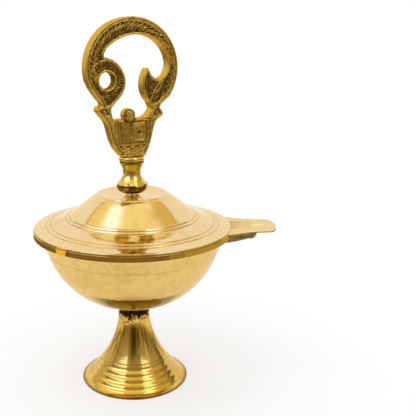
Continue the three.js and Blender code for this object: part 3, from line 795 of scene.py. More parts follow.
@dataclass
class Foot:
    """Hollow flared foot with turned bands above its lip.

    A drop of solder has a direction from the camera's side in degrees, a height, a radius and a height
    above the skin.
    """

    radius: float = 21.0
    lip_height: float = 0.7
    lip_spread: float = 1.8
    lip_top: float = 1.25
    flare_rise: float = 27.3
    flare_handles: tuple = ((0.87, 0.103), (0.047, 0.445))
    neck_radius: float = 5.95
    wall: float = 1.0
    roof: float = 1.5
    inner_radius: float = 19.4
    groove_heights: tuple = (1.3, 3.1, 5.0, 6.8, 9.0)
    cove_depth: float = 0.17
    cove_lean: float = 1.25
    ridge_round: float = 0.05
    spacing: float = 0.09
    segments: int = 224
    drops: tuple = (
        (-24, 24.6, 0.55, 0.30), (-10, 25.6, 0.8, 0.35), (-31, 26.4, 0.6, 0.3), (4, 26.2, 0.6, 0.28),
        (-17, 26.6, 0.45, 0.3), (22, 26.5, 0.7, 0.28), (-4, 24.9, 0.35, 0.22), (-37, 24.4, 0.4, 0.25),
        (33, 25.7, 0.4, 0.22), (60, 26.1, 0.6, 0.25), (110, 25.9, 0.7, 0.3), (165, 26.3, 0.8, 0.3),
        (-100, 26.0, 0.7, 0.3), (-140, 25.2, 0.5, 0.3), (-68, 25.8, 0.6, 0.26),
    )
    finish: FootBrass = FootBrass("foot_brass", (0.81, 0.52, 0.125), (0.46, 0.26, 0.035), 0.45, 0.14,
                                  0.004, 0.05)

    def flare(self, neck: float, start: float, low: float, steps: int) -> np.ndarray:
        """The flare's curve.

        Args:
            neck: Its radius at the top.
            start: Its radius at the bottom.
            low: Its height at the bottom.
            steps: Number of spans.

        Returns:
            Points (radius, height) from the bottom up.
        """
        shares = bezier((1, 0), *self.flare_handles, (0, 1), steps)
        return (neck, low) + shares * (start - neck, self.flare_rise)

    def outside(self) -> np.ndarray:
        """The outer line with its bands.

        Returns:
            Points (radius, height) from the lip up to the neck.
        """
        start = self.radius - self.lip_spread
        flare = resampled(self.flare(self.neck_radius, start, self.lip_height, 700), self.spacing)
        height = flare[:, 1]
        swell = np.zeros(len(flare))
        for low, high in zip(self.groove_heights[:-1], self.groove_heights[1:]):
            share = np.clip((height - low) / (high - low), 0, 1)
            cove = np.sin(math.pi * share ** self.cove_lean) * ((height > low) & (height < high))
            swell -= self.cove_depth * cove
        for ridge in self.groove_heights:
            swell -= self.ridge_round * bump_at(height, ridge, 0.25)
        swell -= self.ridge_round * bump_at(height, self.groove_heights[-1] + 0.45, 0.6)
        flare = flare - line_normals(flare) * swell[:, None]
        flare = flare[flare[:, 1] > self.lip_top]
        lip = filleted([(self.radius - 0.5, 0.0), (self.radius, 0.0, 0.12), (self.radius, 0.25, 0.3),
                        (start + 0.55, self.lip_height, 0.3), tuple(flare[0])])
        return np.concatenate([lip[:-1], flare, [(self.neck_radius, SEAT_Z)]])

    def build(self) -> None:
        """Makes the foot."""
        neck, roof = self.neck_radius - self.wall, SEAT_Z - self.roof
        start = self.radius - self.lip_spread - self.wall * 1.2
        inner = self.flare(neck, start, self.lip_height + 0.2, 90)
        inner = inner[inner[:, 1] < roof - 0.3][::-1]
        profile = np.concatenate([self.outside(), [(0, SEAT_Z), (0, roof), (neck - 0.3, roof)], inner,
                                  [(self.inner_radius, 0.0)]])
        vertices, faces = revolve(from_pole(profile), self.segments)
        self.add_drops(vertices)
        settle(make_mesh("foot_body", (vertices, faces), 50), Body.BASE, "foot", self.finish)

    def add_drops(self, vertices: np.ndarray) -> None:
        """Raises small drops of solder on the neck.

        Args:
            vertices: Points of the foot, moved in place.
        """
        radius = np.linalg.norm(vertices[:, :2], axis=1)
        angle = np.arctan2(vertices[:, 0], -vertices[:, 1])
        skin = (radius > self.neck_radius - 0.2) & (vertices[:, 2] < SEAT_Z - 0.5)
        for turn, height, size, proud in self.drops:
            off = (angle - math.radians(turn) + math.pi) % TAU - math.pi
            away = np.hypot(off * radius, (vertices[:, 2] - height) * 0.75) / size
            push = proud * np.clip(1 - away * away, 0, 1) ** 0.7 * skin
            vertices[:, :2] *= (1 + push / np.maximum(radius, 1))[:, None]


@dataclass
class NeckBraze:
    """Lumpy ring of hard solder where the foot's neck meets the bowl."""

    inner_radius: float = 5.8
    skin_radius: float = 5.92
    belly: float = 0.30
    flange: float = 0.75
    low: float = 27.4
    high: float = 30.75
    drip: float = 1.1
    ragged: float = 0.35
    levels: int = 16
    segments: int = 160
    finish: Solder = Solder("neck_solder")

    def build(self) -> None:
        """Makes the ring as a closed tube with uneven skin and a ragged lower edge."""
        rng = np.random.default_rng(7)
        angle = turns(self.segments)
        waves = [(rng.integers(3, 34), rng.uniform(0, TAU), rng.uniform(0.4, 1)) for _ in range(14)]
        uneven = sum(size * np.sin(times * angle + phase) for times, phase, size in waves) / 5
        drips = 0.5 + 0.5 * np.sin(np.arange(1, self.segments + 1) * 0.9 + 2 * uneven)
        low = self.low + self.drip * drips + self.ragged * uneven
        rings = [level_ring(self.inner_radius, low, angle)]
        for level in np.linspace(0, 1, self.levels):
            body = self.belly * np.sin(math.pi * min(level * 1.6, 1) / 2)
            flange = self.flange * smoothstep(level, 0.72, 1.0)
            skin = (0.10 * np.sin(7 * angle + 9 * level + 2 * uneven)
                    + 0.07 * np.sin(19 * angle - 14 * level)) * smoothstep(level, 0, 0.2)
            radius = self.skin_radius + body + flange + skin * (1 - 0.6 * level)
            rings.append(level_ring(radius, low + (self.high - low) * level, angle))
        rings.append(level_ring(self.inner_radius, self.high, angle))
        piece = make_mesh("neck_solder_ring", loft(rings, capped=False), 70)
        settle(piece, Body.BASE, "neck_braze", self.finish)


@dataclass
class Bowl:
    """Round bowl with a flange round its mouth, notched for the spout."""

    radius: float = 34.0
    depth: float = 32.1
    wall: float = 0.85
    seat_radius: float = 6.6
    band_low: float = 54.7
    band_proud: float = 0.25
    band_groove: float = 0.10
    flange_radius: float = 37.8
    sharp: float = 40
    segments: int = 256
    finish: BowlBrass = BowlBrass("bowl_brass", (0.82, 0.555, 0.19), (0.60, 0.355, 0.085), 0.35, 0.19,
                                  0.004, 0.11, 0.10, 0.42)

    def outer_radius(self, height: float) -> float:
        """Radius of the plain outer surface at a height."""
        return self.radius * math.sqrt(max(1 - ((MOUTH_Z - height) / self.depth) ** 2, 0))

    def profile(self) -> np.ndarray:
        """The line that is turned.

        Returns:
            Points (radius, height) from the bottom of the outside to the bottom of the inside.
        """
        angle = np.linspace(math.asin(self.seat_radius / self.radius), math.pi / 2, 260)
        line = np.stack([self.radius * np.sin(angle), MOUTH_Z - self.depth * np.cos(angle)], axis=1)
        line = line[line[:, 1] < FLANGE_LOW_Z]
        line[:, 0] += self.band_proud * smoothstep(line[:, 1], self.band_low - 0.10, self.band_low + 0.22)
        line[:, 0] -= self.band_groove * bump_at(line[:, 1], self.band_low - 0.25, 0.3)
        seat = filleted([(0, SEAT_Z), (self.seat_radius - 0.1, SEAT_Z, 0.3),
                         (self.seat_radius, line[0, 1] - 0.1, 0.2), tuple(line[0])])
        root, edge, inner = line[-1, 0], self.flange_radius, self.radius - self.wall
        flange = filleted([(root, FLANGE_LOW_Z - 0.1), (root + 0.25, FLANGE_LOW_Z, 0.2),
                           (edge, FLANGE_LOW_Z, 0.12), (edge, MOUTH_Z, 0.10), (inner, MOUTH_Z, 0.2),
                           (inner, MOUTH_Z - 0.6)])
        angle, deep = np.linspace(math.pi / 2 - 0.02, 0, 90), self.depth - self.wall
        hollow = np.stack([inner * np.sin(angle), MOUTH_Z - deep * np.cos(angle)], axis=1)
        hollow[-1, 0] = 0
        return np.concatenate([seat[:-1], line, flange, hollow])

    def build(self, notch: bpy.types.Object) -> None:
        """Makes the bowl and cuts the spout's notch.

        Args:
            notch: Solid with the shape of the spout, which is used up.
        """
        piece = make_mesh("bowl_body", revolve(self.profile(), self.segments), self.sharp)
        cut = piece.modifiers.new("notch", "BOOLEAN")
        cut.operation, cut.solver, cut.object = "DIFFERENCE", "EXACT", notch
        bpy.context.view_layer.update()
        done = piece.evaluated_get(bpy.context.evaluated_depsgraph_get())
        mesh = bpy.data.meshes.new_from_object(done)
        piece.modifiers.clear()
        piece.data = mesh
        mesh.set_sharp_from_angle(angle=math.radians(self.sharp))
        bpy.data.objects.remove(notch)
        settle(piece, Body.BASE, "bowl", self.finish)


@dataclass
class Spout:
    """Cast tongue with a wick channel in its top and a keel below it.

    Places along the spout are distances from the lamp's axis. The flare holds the outline's start, its
    two handles and its end, each with the tongue's half width there.
    """

    reach: float = 54.7
    plate: float = 0.85
    root_radius: float = 34.55
    root_half: float = 14.0
    half: float = 8.0
    flare: tuple = ((34.4, 14.0), (38.5, 10.8), (43.0, 8.1), (50.5, 8.0))
    tip_round: float = 4.2
    tip_start: float = 50.9
    squareness: float = 2.4
    channel_half: float = 5.8
    channel_depth: float = 6.2
    channel_end: float = 51.0
    channel_taper: float = 15.0
    deep_end: float = 44.3
    slope_end: float = 47.8
    shallow_depth: float = 0.51
    wall: float = 0.9
    keel_root: float = 32.8
    keel_straight: float = 45.3
    keel_round: float = 2.75
    round_edge: float = 0.26
    root_fade: float = 4.5
    notch_gap: float = 0.08
    notch_above: float = 0.8
    notch_play: float = 0.15
    notch_inward: float = 3.5
    finish: SpoutBrass = SpoutBrass("spout_brass", (0.82, 0.60, 0.28), (0.70, 0.48, 0.19), 0.25, 0.20,
                                    0.0, 0.0, 0.0)

    def half_width(self, x: float) -> float:
        """Half the tongue's width.

        Args:
            x: Distance from the axis.

        Returns:
            Half the width there.
        """
        if x > self.reach - self.tip_round:
            share = min((x - self.reach + self.tip_round) / self.tip_round, 1)
            return self.half * max(1 - share ** self.squareness, 0) ** (1 / self.squareness)
        outline = bezier(*self.flare, 80)
        return float(np.interp(x, outline[:, 0], outline[:, 1]))

    def channel(self, x: float) -> tuple[float, float]:
        """Half width and depth of the wick channel, which is deep, slopes up and runs out.

        Args:
            x: Distance from the axis.

        Returns:
            Both sizes, zero where there is no channel.
        """
        share = min(max((self.channel_end - min(x, self.deep_end)) / self.channel_taper, 0), 1)
        half, depth = self.channel_half * share ** 0.6, self.channel_depth * share ** 0.4
        if x <= self.deep_end:
            return half, depth
        slope_half = self.channel_half * (self.channel_end - self.slope_end) / self.channel_taper
        if x <= self.slope_end:
            t = (x - self.deep_end) / (self.slope_end - self.deep_end)
            ease = (t * t * (3 - 2 * t) + t) / 2
            return half + (slope_half - half) * t, depth + (self.shallow_depth - depth) * ease
        t = min((x - self.slope_end) / (self.channel_end - self.slope_end), 1)
        return slope_half * (1 - t), self.shallow_depth * (1 - t)

    def keel(self, x: float) -> tuple[float, float]:
        """Half width and depth of the keel below the plate.

        Args:
            x: Distance from the axis.

        Returns:
            Both sizes, the depth measured from the top.
        """
        half, depth = self.channel(min(x, self.deep_end))
        half, depth = half + self.wall, depth + self.wall
        if x <= self.keel_straight:
            return half, depth
        t = min((x - self.keel_straight) / self.keel_round, 1)
        left = math.sqrt(max(1 - t ** 2.6, 0))
        return max(half * (0.35 + 0.65 * left), 0.02), max(depth * left, self.plate)

    def half_section(self, x: float, grow: float, solid: bool) -> np.ndarray:
        """The right half of a ring, from the channel's bottom round the edge to the keel's bottom.

        Args:
            x: Distance of the ring's middle from the axis.
            grow: Millimetres by which the outside is larger.
            solid: Whether the channel is left out.

        Returns:
            Points (y, z).
        """
        half = max(self.half_width(x), 0.15) + grow
        channel_half, channel_depth = (0.001, 0.001) if solid else self.channel(x)
        channel_half = min(max(channel_half, 0.001), half * 0.9)
        keel_half, keel_depth = self.keel(x)
        keel_half, keel_depth = min(keel_half + grow, half * 0.95), keel_depth + grow
        under = MOUTH_Z - self.plate - grow
        top = MOUTH_Z + (self.notch_above if solid else 0)
        rim = min(self.round_edge, 0.4 * half)
        points = []
        for a in np.linspace(math.pi / 2, 0.0, 15):
            soft = 0.0 if solid else 0.12 * math.exp(-((a / 0.25) ** 2)) * min(channel_depth, 1)
            points.append((channel_half * math.cos(a) + soft, top - channel_depth * math.sin(a)))
        brink = points[-1][0]
        for t in np.linspace(0.08, 1, 8):
            points.append((brink + (half - rim - brink) * t, top))
        for a in np.linspace(0, math.pi / 2, 5)[1:]:
            points.append((half - rim + rim * math.sin(a), top - rim + rim * math.cos(a)))
        for a in np.linspace(0, math.pi / 2, 5):
            points.append((half - rim + rim * math.cos(a), under + rim - rim * math.sin(a)))
        thick = MOUTH_Z - under
        below_plate = keel_depth - thick > 1e-4
        start = math.asin(thick / keel_depth) if below_plate else math.pi / 2
        keel_edge = keel_half * math.cos(start)
        for t in np.linspace(0.1, 1, 8):
            points.append((half - rim + (keel_edge - half + rim) * t, under))
        for a in np.linspace(start, math.pi / 2, 13)[1:]:
            points.append((keel_half * math.cos(a), MOUTH_Z - keel_depth * math.sin(a)))
        return np.array(points)

    def section(self, x: float, grow: float, solid: bool) -> np.ndarray:
        """One ring of the tongue, drawn back near the root so that it follows the bowl's wall.

        Args:
            x: Distance of the ring's middle from the axis.
            grow: Millimetres by which the outside is larger.
            solid: Whether the channel is left out.

        Returns:
            Points (x, y, z) in order round the ring.
        """
        right = self.half_section(x, grow, solid)
        ring = np.concatenate([right, right[1:-1][::-1] * (-1, 1)])
        side = np.abs(ring[:, 0])
        reach = self.root_radius - (self.notch_play if solid else 0)
        plate_root = np.sqrt(np.maximum(reach ** 2 - np.minimum(side, self.root_half) ** 2, 0))
        low = smoothstep(MOUTH_Z - self.plate - grow - ring[:, 1], -0.02, 0.5)
        if not solid:
            half = max(self.half_width(x), 0.15) + grow
            low = np.maximum(low, side < min(max(self.channel(x)[0], 0.001), half * 0.9) + 0.3)
        keel_root = self.keel_root - (self.notch_inward if solid else 0)
        root = plate_root * (1 - low) + keel_root * low
        fade = np.clip(1 - (x - self.root_radius) / self.root_fade, 0, 1)
        return np.stack([x - (self.root_radius - root) * fade, ring[:, 0], ring[:, 1]], axis=1)

    def rings(self, grow: float = 0, solid: bool = False) -> list:
        """All rings of the tongue, closest where its form changes most.

        Args:
            grow: Millimetres by which the outside is larger.
            solid: Whether the channel is left out.

        Returns:
            The rings from the root to the tip.
        """
        tip = (self.reach - self.tip_start) * np.sin(np.linspace(0.08, math.pi / 2, 22))
        stations = np.r_[np.linspace(self.root_radius, self.deep_end, 34),
                         np.linspace(self.deep_end + 0.25, self.slope_end + 0.4, 26),
                         np.linspace(self.slope_end + 0.6, self.tip_start, 12), self.tip_start + tip]
        return [self.section(min(x, self.reach - 0.004), grow, solid) for x in stations]

    def notch(self) -> bpy.types.Object:
        """The solid that is cut from the bowl to seat the spout."""
        return make_mesh("spout_notch", loft(self.rings(self.notch_gap, True)), 30)

    def build(self) -> None:
        """Makes the spout."""
        settle(make_mesh("spout_tongue", loft(self.rings()), 38), Body.BASE, "spout", self.finish)


@dataclass
class SpoutBraze:
    """Fillet of hard solder round the keel at the bowl's wall."""

    size: float = 0.75
    station: float = 35.2
    finish: Solder = Solder("spout_solder", (0.06, 0.036, 0.02), (0.5, 0.33, 0.13), 0.62)

    def build(self, bowl: Bowl, spout: Spout) -> None:
        """Sweeps the fillet along the keel's outline.

        Args:
            bowl: Gives the wall's radius at each height.
            spout: Gives the keel's section.
        """
        half, depth = spout.keel(self.station)
        start = math.asin((spout.plate + 0.45) / depth)
        around = np.linspace(0, TAU, 13)[:-1]
        rings = []
        for k, a in enumerate(np.linspace(start, math.pi - start, 64)):
            y, z = half * math.cos(a), MOUTH_Z - depth * math.sin(a)
            wall = math.sqrt(max(bowl.outer_radius(z) ** 2 - y * y, 0))
            wall += bowl.band_proud * (z > bowl.band_low)
            size = self.size * (1 + 0.22 * math.sin(k * 0.9) + 0.14 * math.sin(k * 2.3 + 1))
            out = np.array([0, math.cos(a) / half, -math.sin(a) / depth])
            out /= np.linalg.norm(out)
            centre = np.array([wall + 0.12, y, z]) + out * 0.10
            rings.append(np.array([centre + size * (math.cos(t) * np.array([0.85, 0, 0])
                                                    + math.sin(t) * out * 0.7) for t in around]))
        settle(make_mesh("spout_solder_fillet", loft(rings), 70), Body.BASE, "spout_braze", self.finish)


@dataclass
class Lid:
    """Domed lid with two pairs of engraved rings and a dished crown."""

    seat: float = 62.56
    radius: float = 37.4
    edge: float = 0.5
    wall: float = 0.8
    land: float = 1.6
    dome_foot: tuple = (26.5, 66.32)
    crown_edge: tuple = (13.0, 75.5)
    crown_flat: float = 4.6
    engraving: float = 0.16
    engraving_half: float = 0.34
    burr: float = 0.03
    crown_lip: float = 0.16
    crown_cove: float = 0.06
    spacing: float = 0.085
    segments: int = 288
    finish: LidBrass = LidBrass("lid_brass", (0.88, 0.665, 0.36), (0.70, 0.46, 0.17), 0.24, 0.075,
                                0.003, 0.05, 0.10, 0.30)
    ring_finish: TurnedBrass = TurnedBrass("ring_brass", (0.80, 0.57, 0.25), (0.5, 0.32, 0.1), 0.5, 0.26,
                                           0.01, 0.03)

    def top_line(self) -> np.ndarray:
        """The plain outer line.

        Returns:
            Evenly spaced points (radius, height) from the rim's edge to the crown's hole.
        """
        brim = smooth_line([(36.75, 63.36), (34.4, 63.78), (32.05, 64.35), (29.2, 65.23),
                            self.dome_foot], 24)
        dome = bezier(self.dome_foot, (21.6, 68.3), (16.1, 74.4), self.crown_edge, 160)
        dish = bezier((self.crown_edge[0] - 0.4, self.crown_edge[1]), (10.5, 75.05), (7.5, 74.78),
                      (self.crown_flat, CROWN_Z), 40)
        return resampled(np.concatenate([brim, dome[1:], dish, [(STUD_BORE, CROWN_Z)]]), self.spacing)

    def build(self) -> None:
        """Makes the lid."""
        line = self.top_line()
        up = -line_normals(line)
        up *= np.where(up[:, 1] < 0, -1, 1)[:, None]
        raised = np.zeros(len(line))
        for ring in ENGRAVED_RINGS:
            off = np.abs(line[:, 0] - ring)
            raised -= self.engraving * bump_at(off, 0.0, self.engraving_half)
            raised += self.burr * bump_at(off, 0.55, 0.25)
        raised += self.crown_lip * bump_at(line[:, 0], self.crown_edge[0] - 0.15, 0.5)
        raised -= self.crown_cove * bump_at(line[:, 0], self.crown_edge[0] + 0.75, 0.4)
        outer = line + up * raised[:, None]
        rim = filleted([(self.radius - self.land, self.seat), (self.radius, self.seat, 0.06),
                        (self.radius, self.seat + self.edge + 0.08, 0.2), tuple(outer[0])])
        inner = line[::6] - up[::6] * self.wall
        keep = (inner[:, 0] < self.radius - self.land - 0.1) & (inner[:, 1] > self.seat + 0.05)
        inner = inner[keep][::-1]
        profile = np.concatenate([rim[:-1], outer, [(STUD_BORE, inner[0][1])], inner])
        settle(make_mesh("lid_dome", revolve(profile, self.segments), 32), Body.LID, "lid", self.finish)

    def build_ring(self) -> None:
        """Makes the locating ring under the lid."""
        profile = filleted([(31.95, 61.0), (32.45, 61.0, 0.25), (32.45, 63.3), (31.45, 63.5),
                            (31.45, 61.0, 0.25), (31.9, 61.0)])
        piece = make_mesh("lid_ring", revolve(profile, self.segments), 40)
        settle(piece, Body.LID, "lid_locating_ring", self.ring_finish)


@dataclass
class Stem:
    """Bead, lipped stem and the screw that holds them on the crown."""

    segments: int = 128
    bore_top: float = 84.2
    collar_low: float = 88.05
    stud_low: float = 70.35
    stud_high: float = 84.0
    stud_tip: float = 1.15
    thread_radius: float = 1.38
    thread_depth: float = 0.12
    thread_pitch: float = 0.6
    washer_radius: float = 4.0
    washer_low: float = 73.45
    washer_high: float = 73.95
    nut_low: float = 71.05
    nut_half: float = 2.75
    nut_corner: float = 3.2
    nut_face: float = 2.68
    nut_bore: float = 1.62
    finish: StemBrass = StemBrass("stem_brass", (0.88, 0.61, 0.19), (0.52, 0.32, 0.05), 0.5, 0.13,
                                  0.006, 0.05)
    bead_finish: TurnedBrass = TurnedBrass("bead_brass", (1.0, 0.92, 0.46), (0.8, 0.62, 0.2), 0.2, 0.20,
                                           0.0, 0.02)
    stud_finish: TurnedBrass = TurnedBrass("stud_brass", (0.70, 0.52, 0.24), (0.35, 0.24, 0.09), 0.5, 0.3,
                                           0.0, 0.02)
    washer_finish: TurnedBrass = TurnedBrass("washer_brass", (0.74, 0.52, 0.2), (0.4, 0.25, 0.08), 0.5,
                                             0.28, 0.006, 0.02)
    nut_finish: TurnedBrass = TurnedBrass("nut_brass", (0.72, 0.50, 0.2), (0.38, 0.24, 0.08), 0.5, 0.26,
                                          0.004, 0.02)

    def build(self) -> None:
        """Makes every piece of the stem."""
        self.build_bead()
        self.build_body()
        self.build_stud()
        self.build_washer()
        self.build_nut()

    def build_bead(self) -> None:
        """Makes the small turned bead between crown and stem."""
        line = smooth_line([(2.8, CROWN_Z), (2.95, 74.9), (2.75, 75.15), (2.3, 75.35), (2.2, 75.6),
                            (2.35, 75.85), (2.6, STEM_Z)], 8)
        profile = np.concatenate([line, [(STUD_BORE, STEM_Z), (STUD_BORE, CROWN_Z)]])
        piece = make_mesh("crown_bead_turned", revolve(profile, self.segments), 50)
        settle(piece, Body.LID, "crown_bead", self.bead_finish)

    def build_body(self) -> None:
        """Makes the lipped stem, filed to faint flats round its lip."""
        under = smooth_line([(STUD_BORE, STEM_Z), (3.6, STEM_Z), (4.7, 76.35), (5.5, 77.1), (5.85, 77.9),
                             (5.95, 78.6), (5.85, 79.15)], 8)
        bell = bezier((5.72, 79.3), (4.75, 80.15), (3.3, 82.2), (3.3, 83.8), 40)
        neck = smooth_line([(3.3, 83.8), (3.42, 84.8), (3.85, 85.8), (4.3, 86.7), (4.6, 87.5), (4.62, 87.9),
                            (4.5, self.collar_low)], 8)
        collar = smooth_line([(4.5, self.collar_low), (4.68, 88.3), (4.80, 88.75), (4.72, 89.25),
                              (4.45, 89.62), (4.1, STEM_TOP_Z), (3.4, STEM_TOP_Z)], 6)
        hollow = [(0, STEM_TOP_Z), (0, self.bore_top), (STUD_BORE, self.bore_top)]
        profile = np.concatenate([under, bell, neck[1:], collar[1:], hollow])
        vertices, faces = revolve(from_pole(profile), self.segments)
        radius = np.linalg.norm(vertices[:, :2], axis=1)
        angle = np.arctan2(vertices[:, 1], vertices[:, 0])
        near_lip = bump_at(vertices[:, 2], 78.6, 2.4) * (radius > 3)
        flats = 0.16 * (np.abs(np.sin(angle * 4.5 + 0.7)) - 1) + 0.06 * np.sin(angle * 11 + 2)
        vertices[:, :2] *= (1 + np.minimum(flats, 0) * near_lip / np.maximum(radius, 1))[:, None]
        vertices[:, 2] += 0.20 * np.sin(angle * 3 + 1) * bump_at(vertices[:, 2], 79.3, 1.0) * (radius > 4.6)
        settle(make_mesh("stem_turned", (vertices, faces), 42), Body.LID, "finial_stem", self.finish)

    def build_stud(self) -> None:
        """Makes the threaded stud."""
        height = np.arange(self.stud_low + 0.3, self.stud_high - 0.3, 0.08)
        thread = self.thread_radius + self.thread_depth * np.cos(height * TAU / self.thread_pitch)
        profile = np.concatenate([[(0, self.stud_low), (self.stud_tip, self.stud_low)],
                                  np.stack([thread, height], axis=1),
                                  [(self.stud_tip, self.stud_high), (0, self.stud_high)]])
        settle(make_mesh("stud_threaded", revolve(profile, 40), 60), Body.LID, "finial_stud",
               self.stud_finish)

    def build_washer(self) -> None:
        """Makes the washer."""
        low, high, radius = self.washer_low, self.washer_high, self.washer_radius
        profile = filleted([(2.8, low), (radius, low, 0.12), (radius, high, 0.12), (STUD_BORE, high, 0.08),
                            (STUD_BORE, low, 0.08), (2.7, low)])
        settle(make_mesh("washer_pressed", revolve(profile, 96), 50), Body.LID, "stud_washer",
               self.washer_finish)

    def build_nut(self) -> None:
        """Makes the hexagonal nut with its corners turned down at both ends."""
        angle = turns(96)
        side = self.nut_half / np.cos((angle + math.pi / 6) % (math.pi / 3) - math.pi / 6)
        low, high = self.nut_low, self.washer_low
        outside = [(low, self.nut_face), (low + 0.35, self.nut_corner), (high - 0.35, self.nut_corner),
                   (high, self.nut_face)]
        bore = [(high, self.nut_bore + 0.33), (high - 0.25, self.nut_bore), (low + 0.25, self.nut_bore),
                (low, self.nut_bore + 0.33)]
        rings = [level_ring(np.minimum(side, reach), height, angle) for height, reach in outside]
        rings += [level_ring(reach, height, angle) for height, reach in bore]
        settle(make_mesh("nut_hexagonal", loft(rings, capped=False), 25), Body.LID, "stud_nut",
               self.nut_finish)


@dataclass
class Ornament:
    """Cast ring with a curl, a leaf and a vase-shaped base, carved alike on both faces.

    Points on its plate are a distance s to the right of the lamp's axis and a height h above the stem.
    """

    thickness: float = 5.0
    turn: float = 26.0
    ring_centre: tuple = (0.2, 32.1)
    ring_radius: float = 18.1
    curl_centre: tuple = (-10.0, 28.1)
    curl_hole: float = 3.05
    knob_centre: tuple = (-1.35, 15.3)
    knob_radius: float = 2.35
    grid: float = 0.24
    arris: float = 0.34
    wall_levels: tuple = (0.62, 0.2, -0.2, -0.62)
    field_sunk: float = 0.68
    stroke_reach: float = 5.5
    deepest: float = 1.35
    finish: CastBrass = CastBrass("cast_brass")

    def outlines(self) -> list:
        """The ornament's outlines.

        Returns:
            The outer outline, the large opening and the curl's hole, each closed and evenly spaced.
        """
        ring = arc(self.ring_centre, self.ring_radius, np.radians(np.linspace(-36, 192, 150)))
        right = smooth_line([(4.6, 0), (5.9, 2.6), (7.0, 5.4), (8.0, 9.4), (9.3, 12.8), (12.0, 14.8),
                             (11.6, 16.4), (10.9, 18.0), (12.4, 19.6)], 8)
        notch = smooth_line([(-16.2, 25.4), (-13.8, 22.0), (-12.3, 20.2), (-12.1, 19.2)], 8)
        left = smooth_line([(-13.5, 18.8), (-13.9, 17.4), (-12.9, 16.0), (-10.5, 12.8), (-9.2, 8.4),
                            (-8.1, 5.0), (-6.6, 2.4), (-4.6, 0)], 8)
        outside = np.concatenate([right, ring, notch, left])
        curl = smooth_line([(-10.9, 36.4), (-8.1, 35.5), (-5.4, 33.5), (-3.6, 30.8), (-2.9, 28.0),
                            (-3.3, 25.0), (-4.7, 22.4), (-7.1, 20.0), (-8.6, 18.0), (-8.5, 16.0),
                            (-7.9, 13.9)], 8)
        knob = arc(self.knob_centre, self.knob_radius, np.radians(np.linspace(212.4, -28.8, 40)))
        leaf_foot = smooth_line([(1.6, 14.0), (4.6, 14.2), (6.4, 15.6), (7.7, 17.3)], 8)
        leaf = smooth_line([(6.6, 19.6), (4.7, 22.4), (4.0, 25.4), (4.2, 28.0), (5.0, 30.4),
                            (6.1, 32.2)], 8)
        hook = smooth_line([(6.9, 30.6), (8.0, 29.0), (9.8, 28.0), (11.7, 28.3), (13.3, 29.6), (14.3, 31.6),
                            (14.5, 33.8), (13.8, 36.6), (12.1, 39.5), (9.1, 42.1), (4.9, 43.7), (0.3, 43.9),
                            (-4.3, 42.8), (-7.5, 41.1), (-9.8, 39.3), (-11.0, 37.4)], 8)
        opening = np.concatenate([curl, knob, leaf_foot, leaf, hook])
        hole = arc(self.curl_centre, self.curl_hole, turns(90))
        return [resampled(np.concatenate([outline, outline[:1]]), self.grid)[:-1]
                for outline in (outside, opening, hole)]

    @staticmethod
    def distance(points: np.ndarray, outline: np.ndarray) -> np.ndarray:
        """Distance from points to a closed outline.

        Args:
            points: Points to measure from.
            outline: Corners of the outline.

        Returns:
            One distance for each point.
        """
        along = np.roll(outline, -1, axis=0) - outline
        length = np.maximum((along ** 2).sum(1), 1e-12)
        best = np.zeros(len(points))
        batch = 4000
        for first in range(0, len(points), batch):
            some = points[first:first + batch, None, :]
            share = np.clip(((some - outline) * along).sum(2) / length, 0, 1)
            gap = some - (outline + share[..., None] * along)
            best[first:first + batch] = np.sqrt((gap ** 2).sum(2).min(1))
        return best

    @staticmethod
    def within(points: np.ndarray, outline: np.ndarray) -> np.ndarray:
        """Finds the points inside a closed outline.

        Args:
            points: Points to look at.
            outline: Corners of the outline.

        Returns:
            True for each point inside.
        """
        inside = np.zeros(len(points), bool)
        after = np.roll(outline, -1, axis=0)
        for (ax, ay), (bx, by) in zip(outline, after):
            if ay == by:
                continue
            crosses = (points[:, 1] > min(ay, by)) & (points[:, 1] <= max(ay, by))
            x = ax + (points[:, 1] - ay) * (bx - ax) / (by - ay)
            inside ^= crosses & (points[:, 0] < x)
        return inside

    def between(self, points: np.ndarray, outlines: list) -> np.ndarray:
        """Which points lie on the metal, inside the first outline and outside the two openings."""
        outside, opening, hole = (self.within(points, outline) for outline in outlines)
        return outside & ~opening & ~hole

    def strokes(self) -> list:
        """The carved strokes.

        Returns:
            For each a line of points (s, h) and half its width.
        """
        rng = np.random.default_rng(5)
        made = []

        def across(turn: float, low: float, high: float, lean: float, bend: float, half: float) -> None:
            """Adds a stroke across the ring's band.

            Args:
                turn: Its direction from the ring's middle, in degrees.
                low: Distance from that middle at which it starts.
                high: Distance at which it ends.
                lean: How far it leans, in radians.
                bend: How far it bends like an S, in radians.
                half: Half its width.
            """
            share = np.linspace(0, 1, 8)
            angle = math.radians(turn) + lean * (0.5 - share) + bend * np.sin(TAU * share)
            reach = low + (high - low) * share
            made.append((arc(self.ring_centre, reach, angle), half))

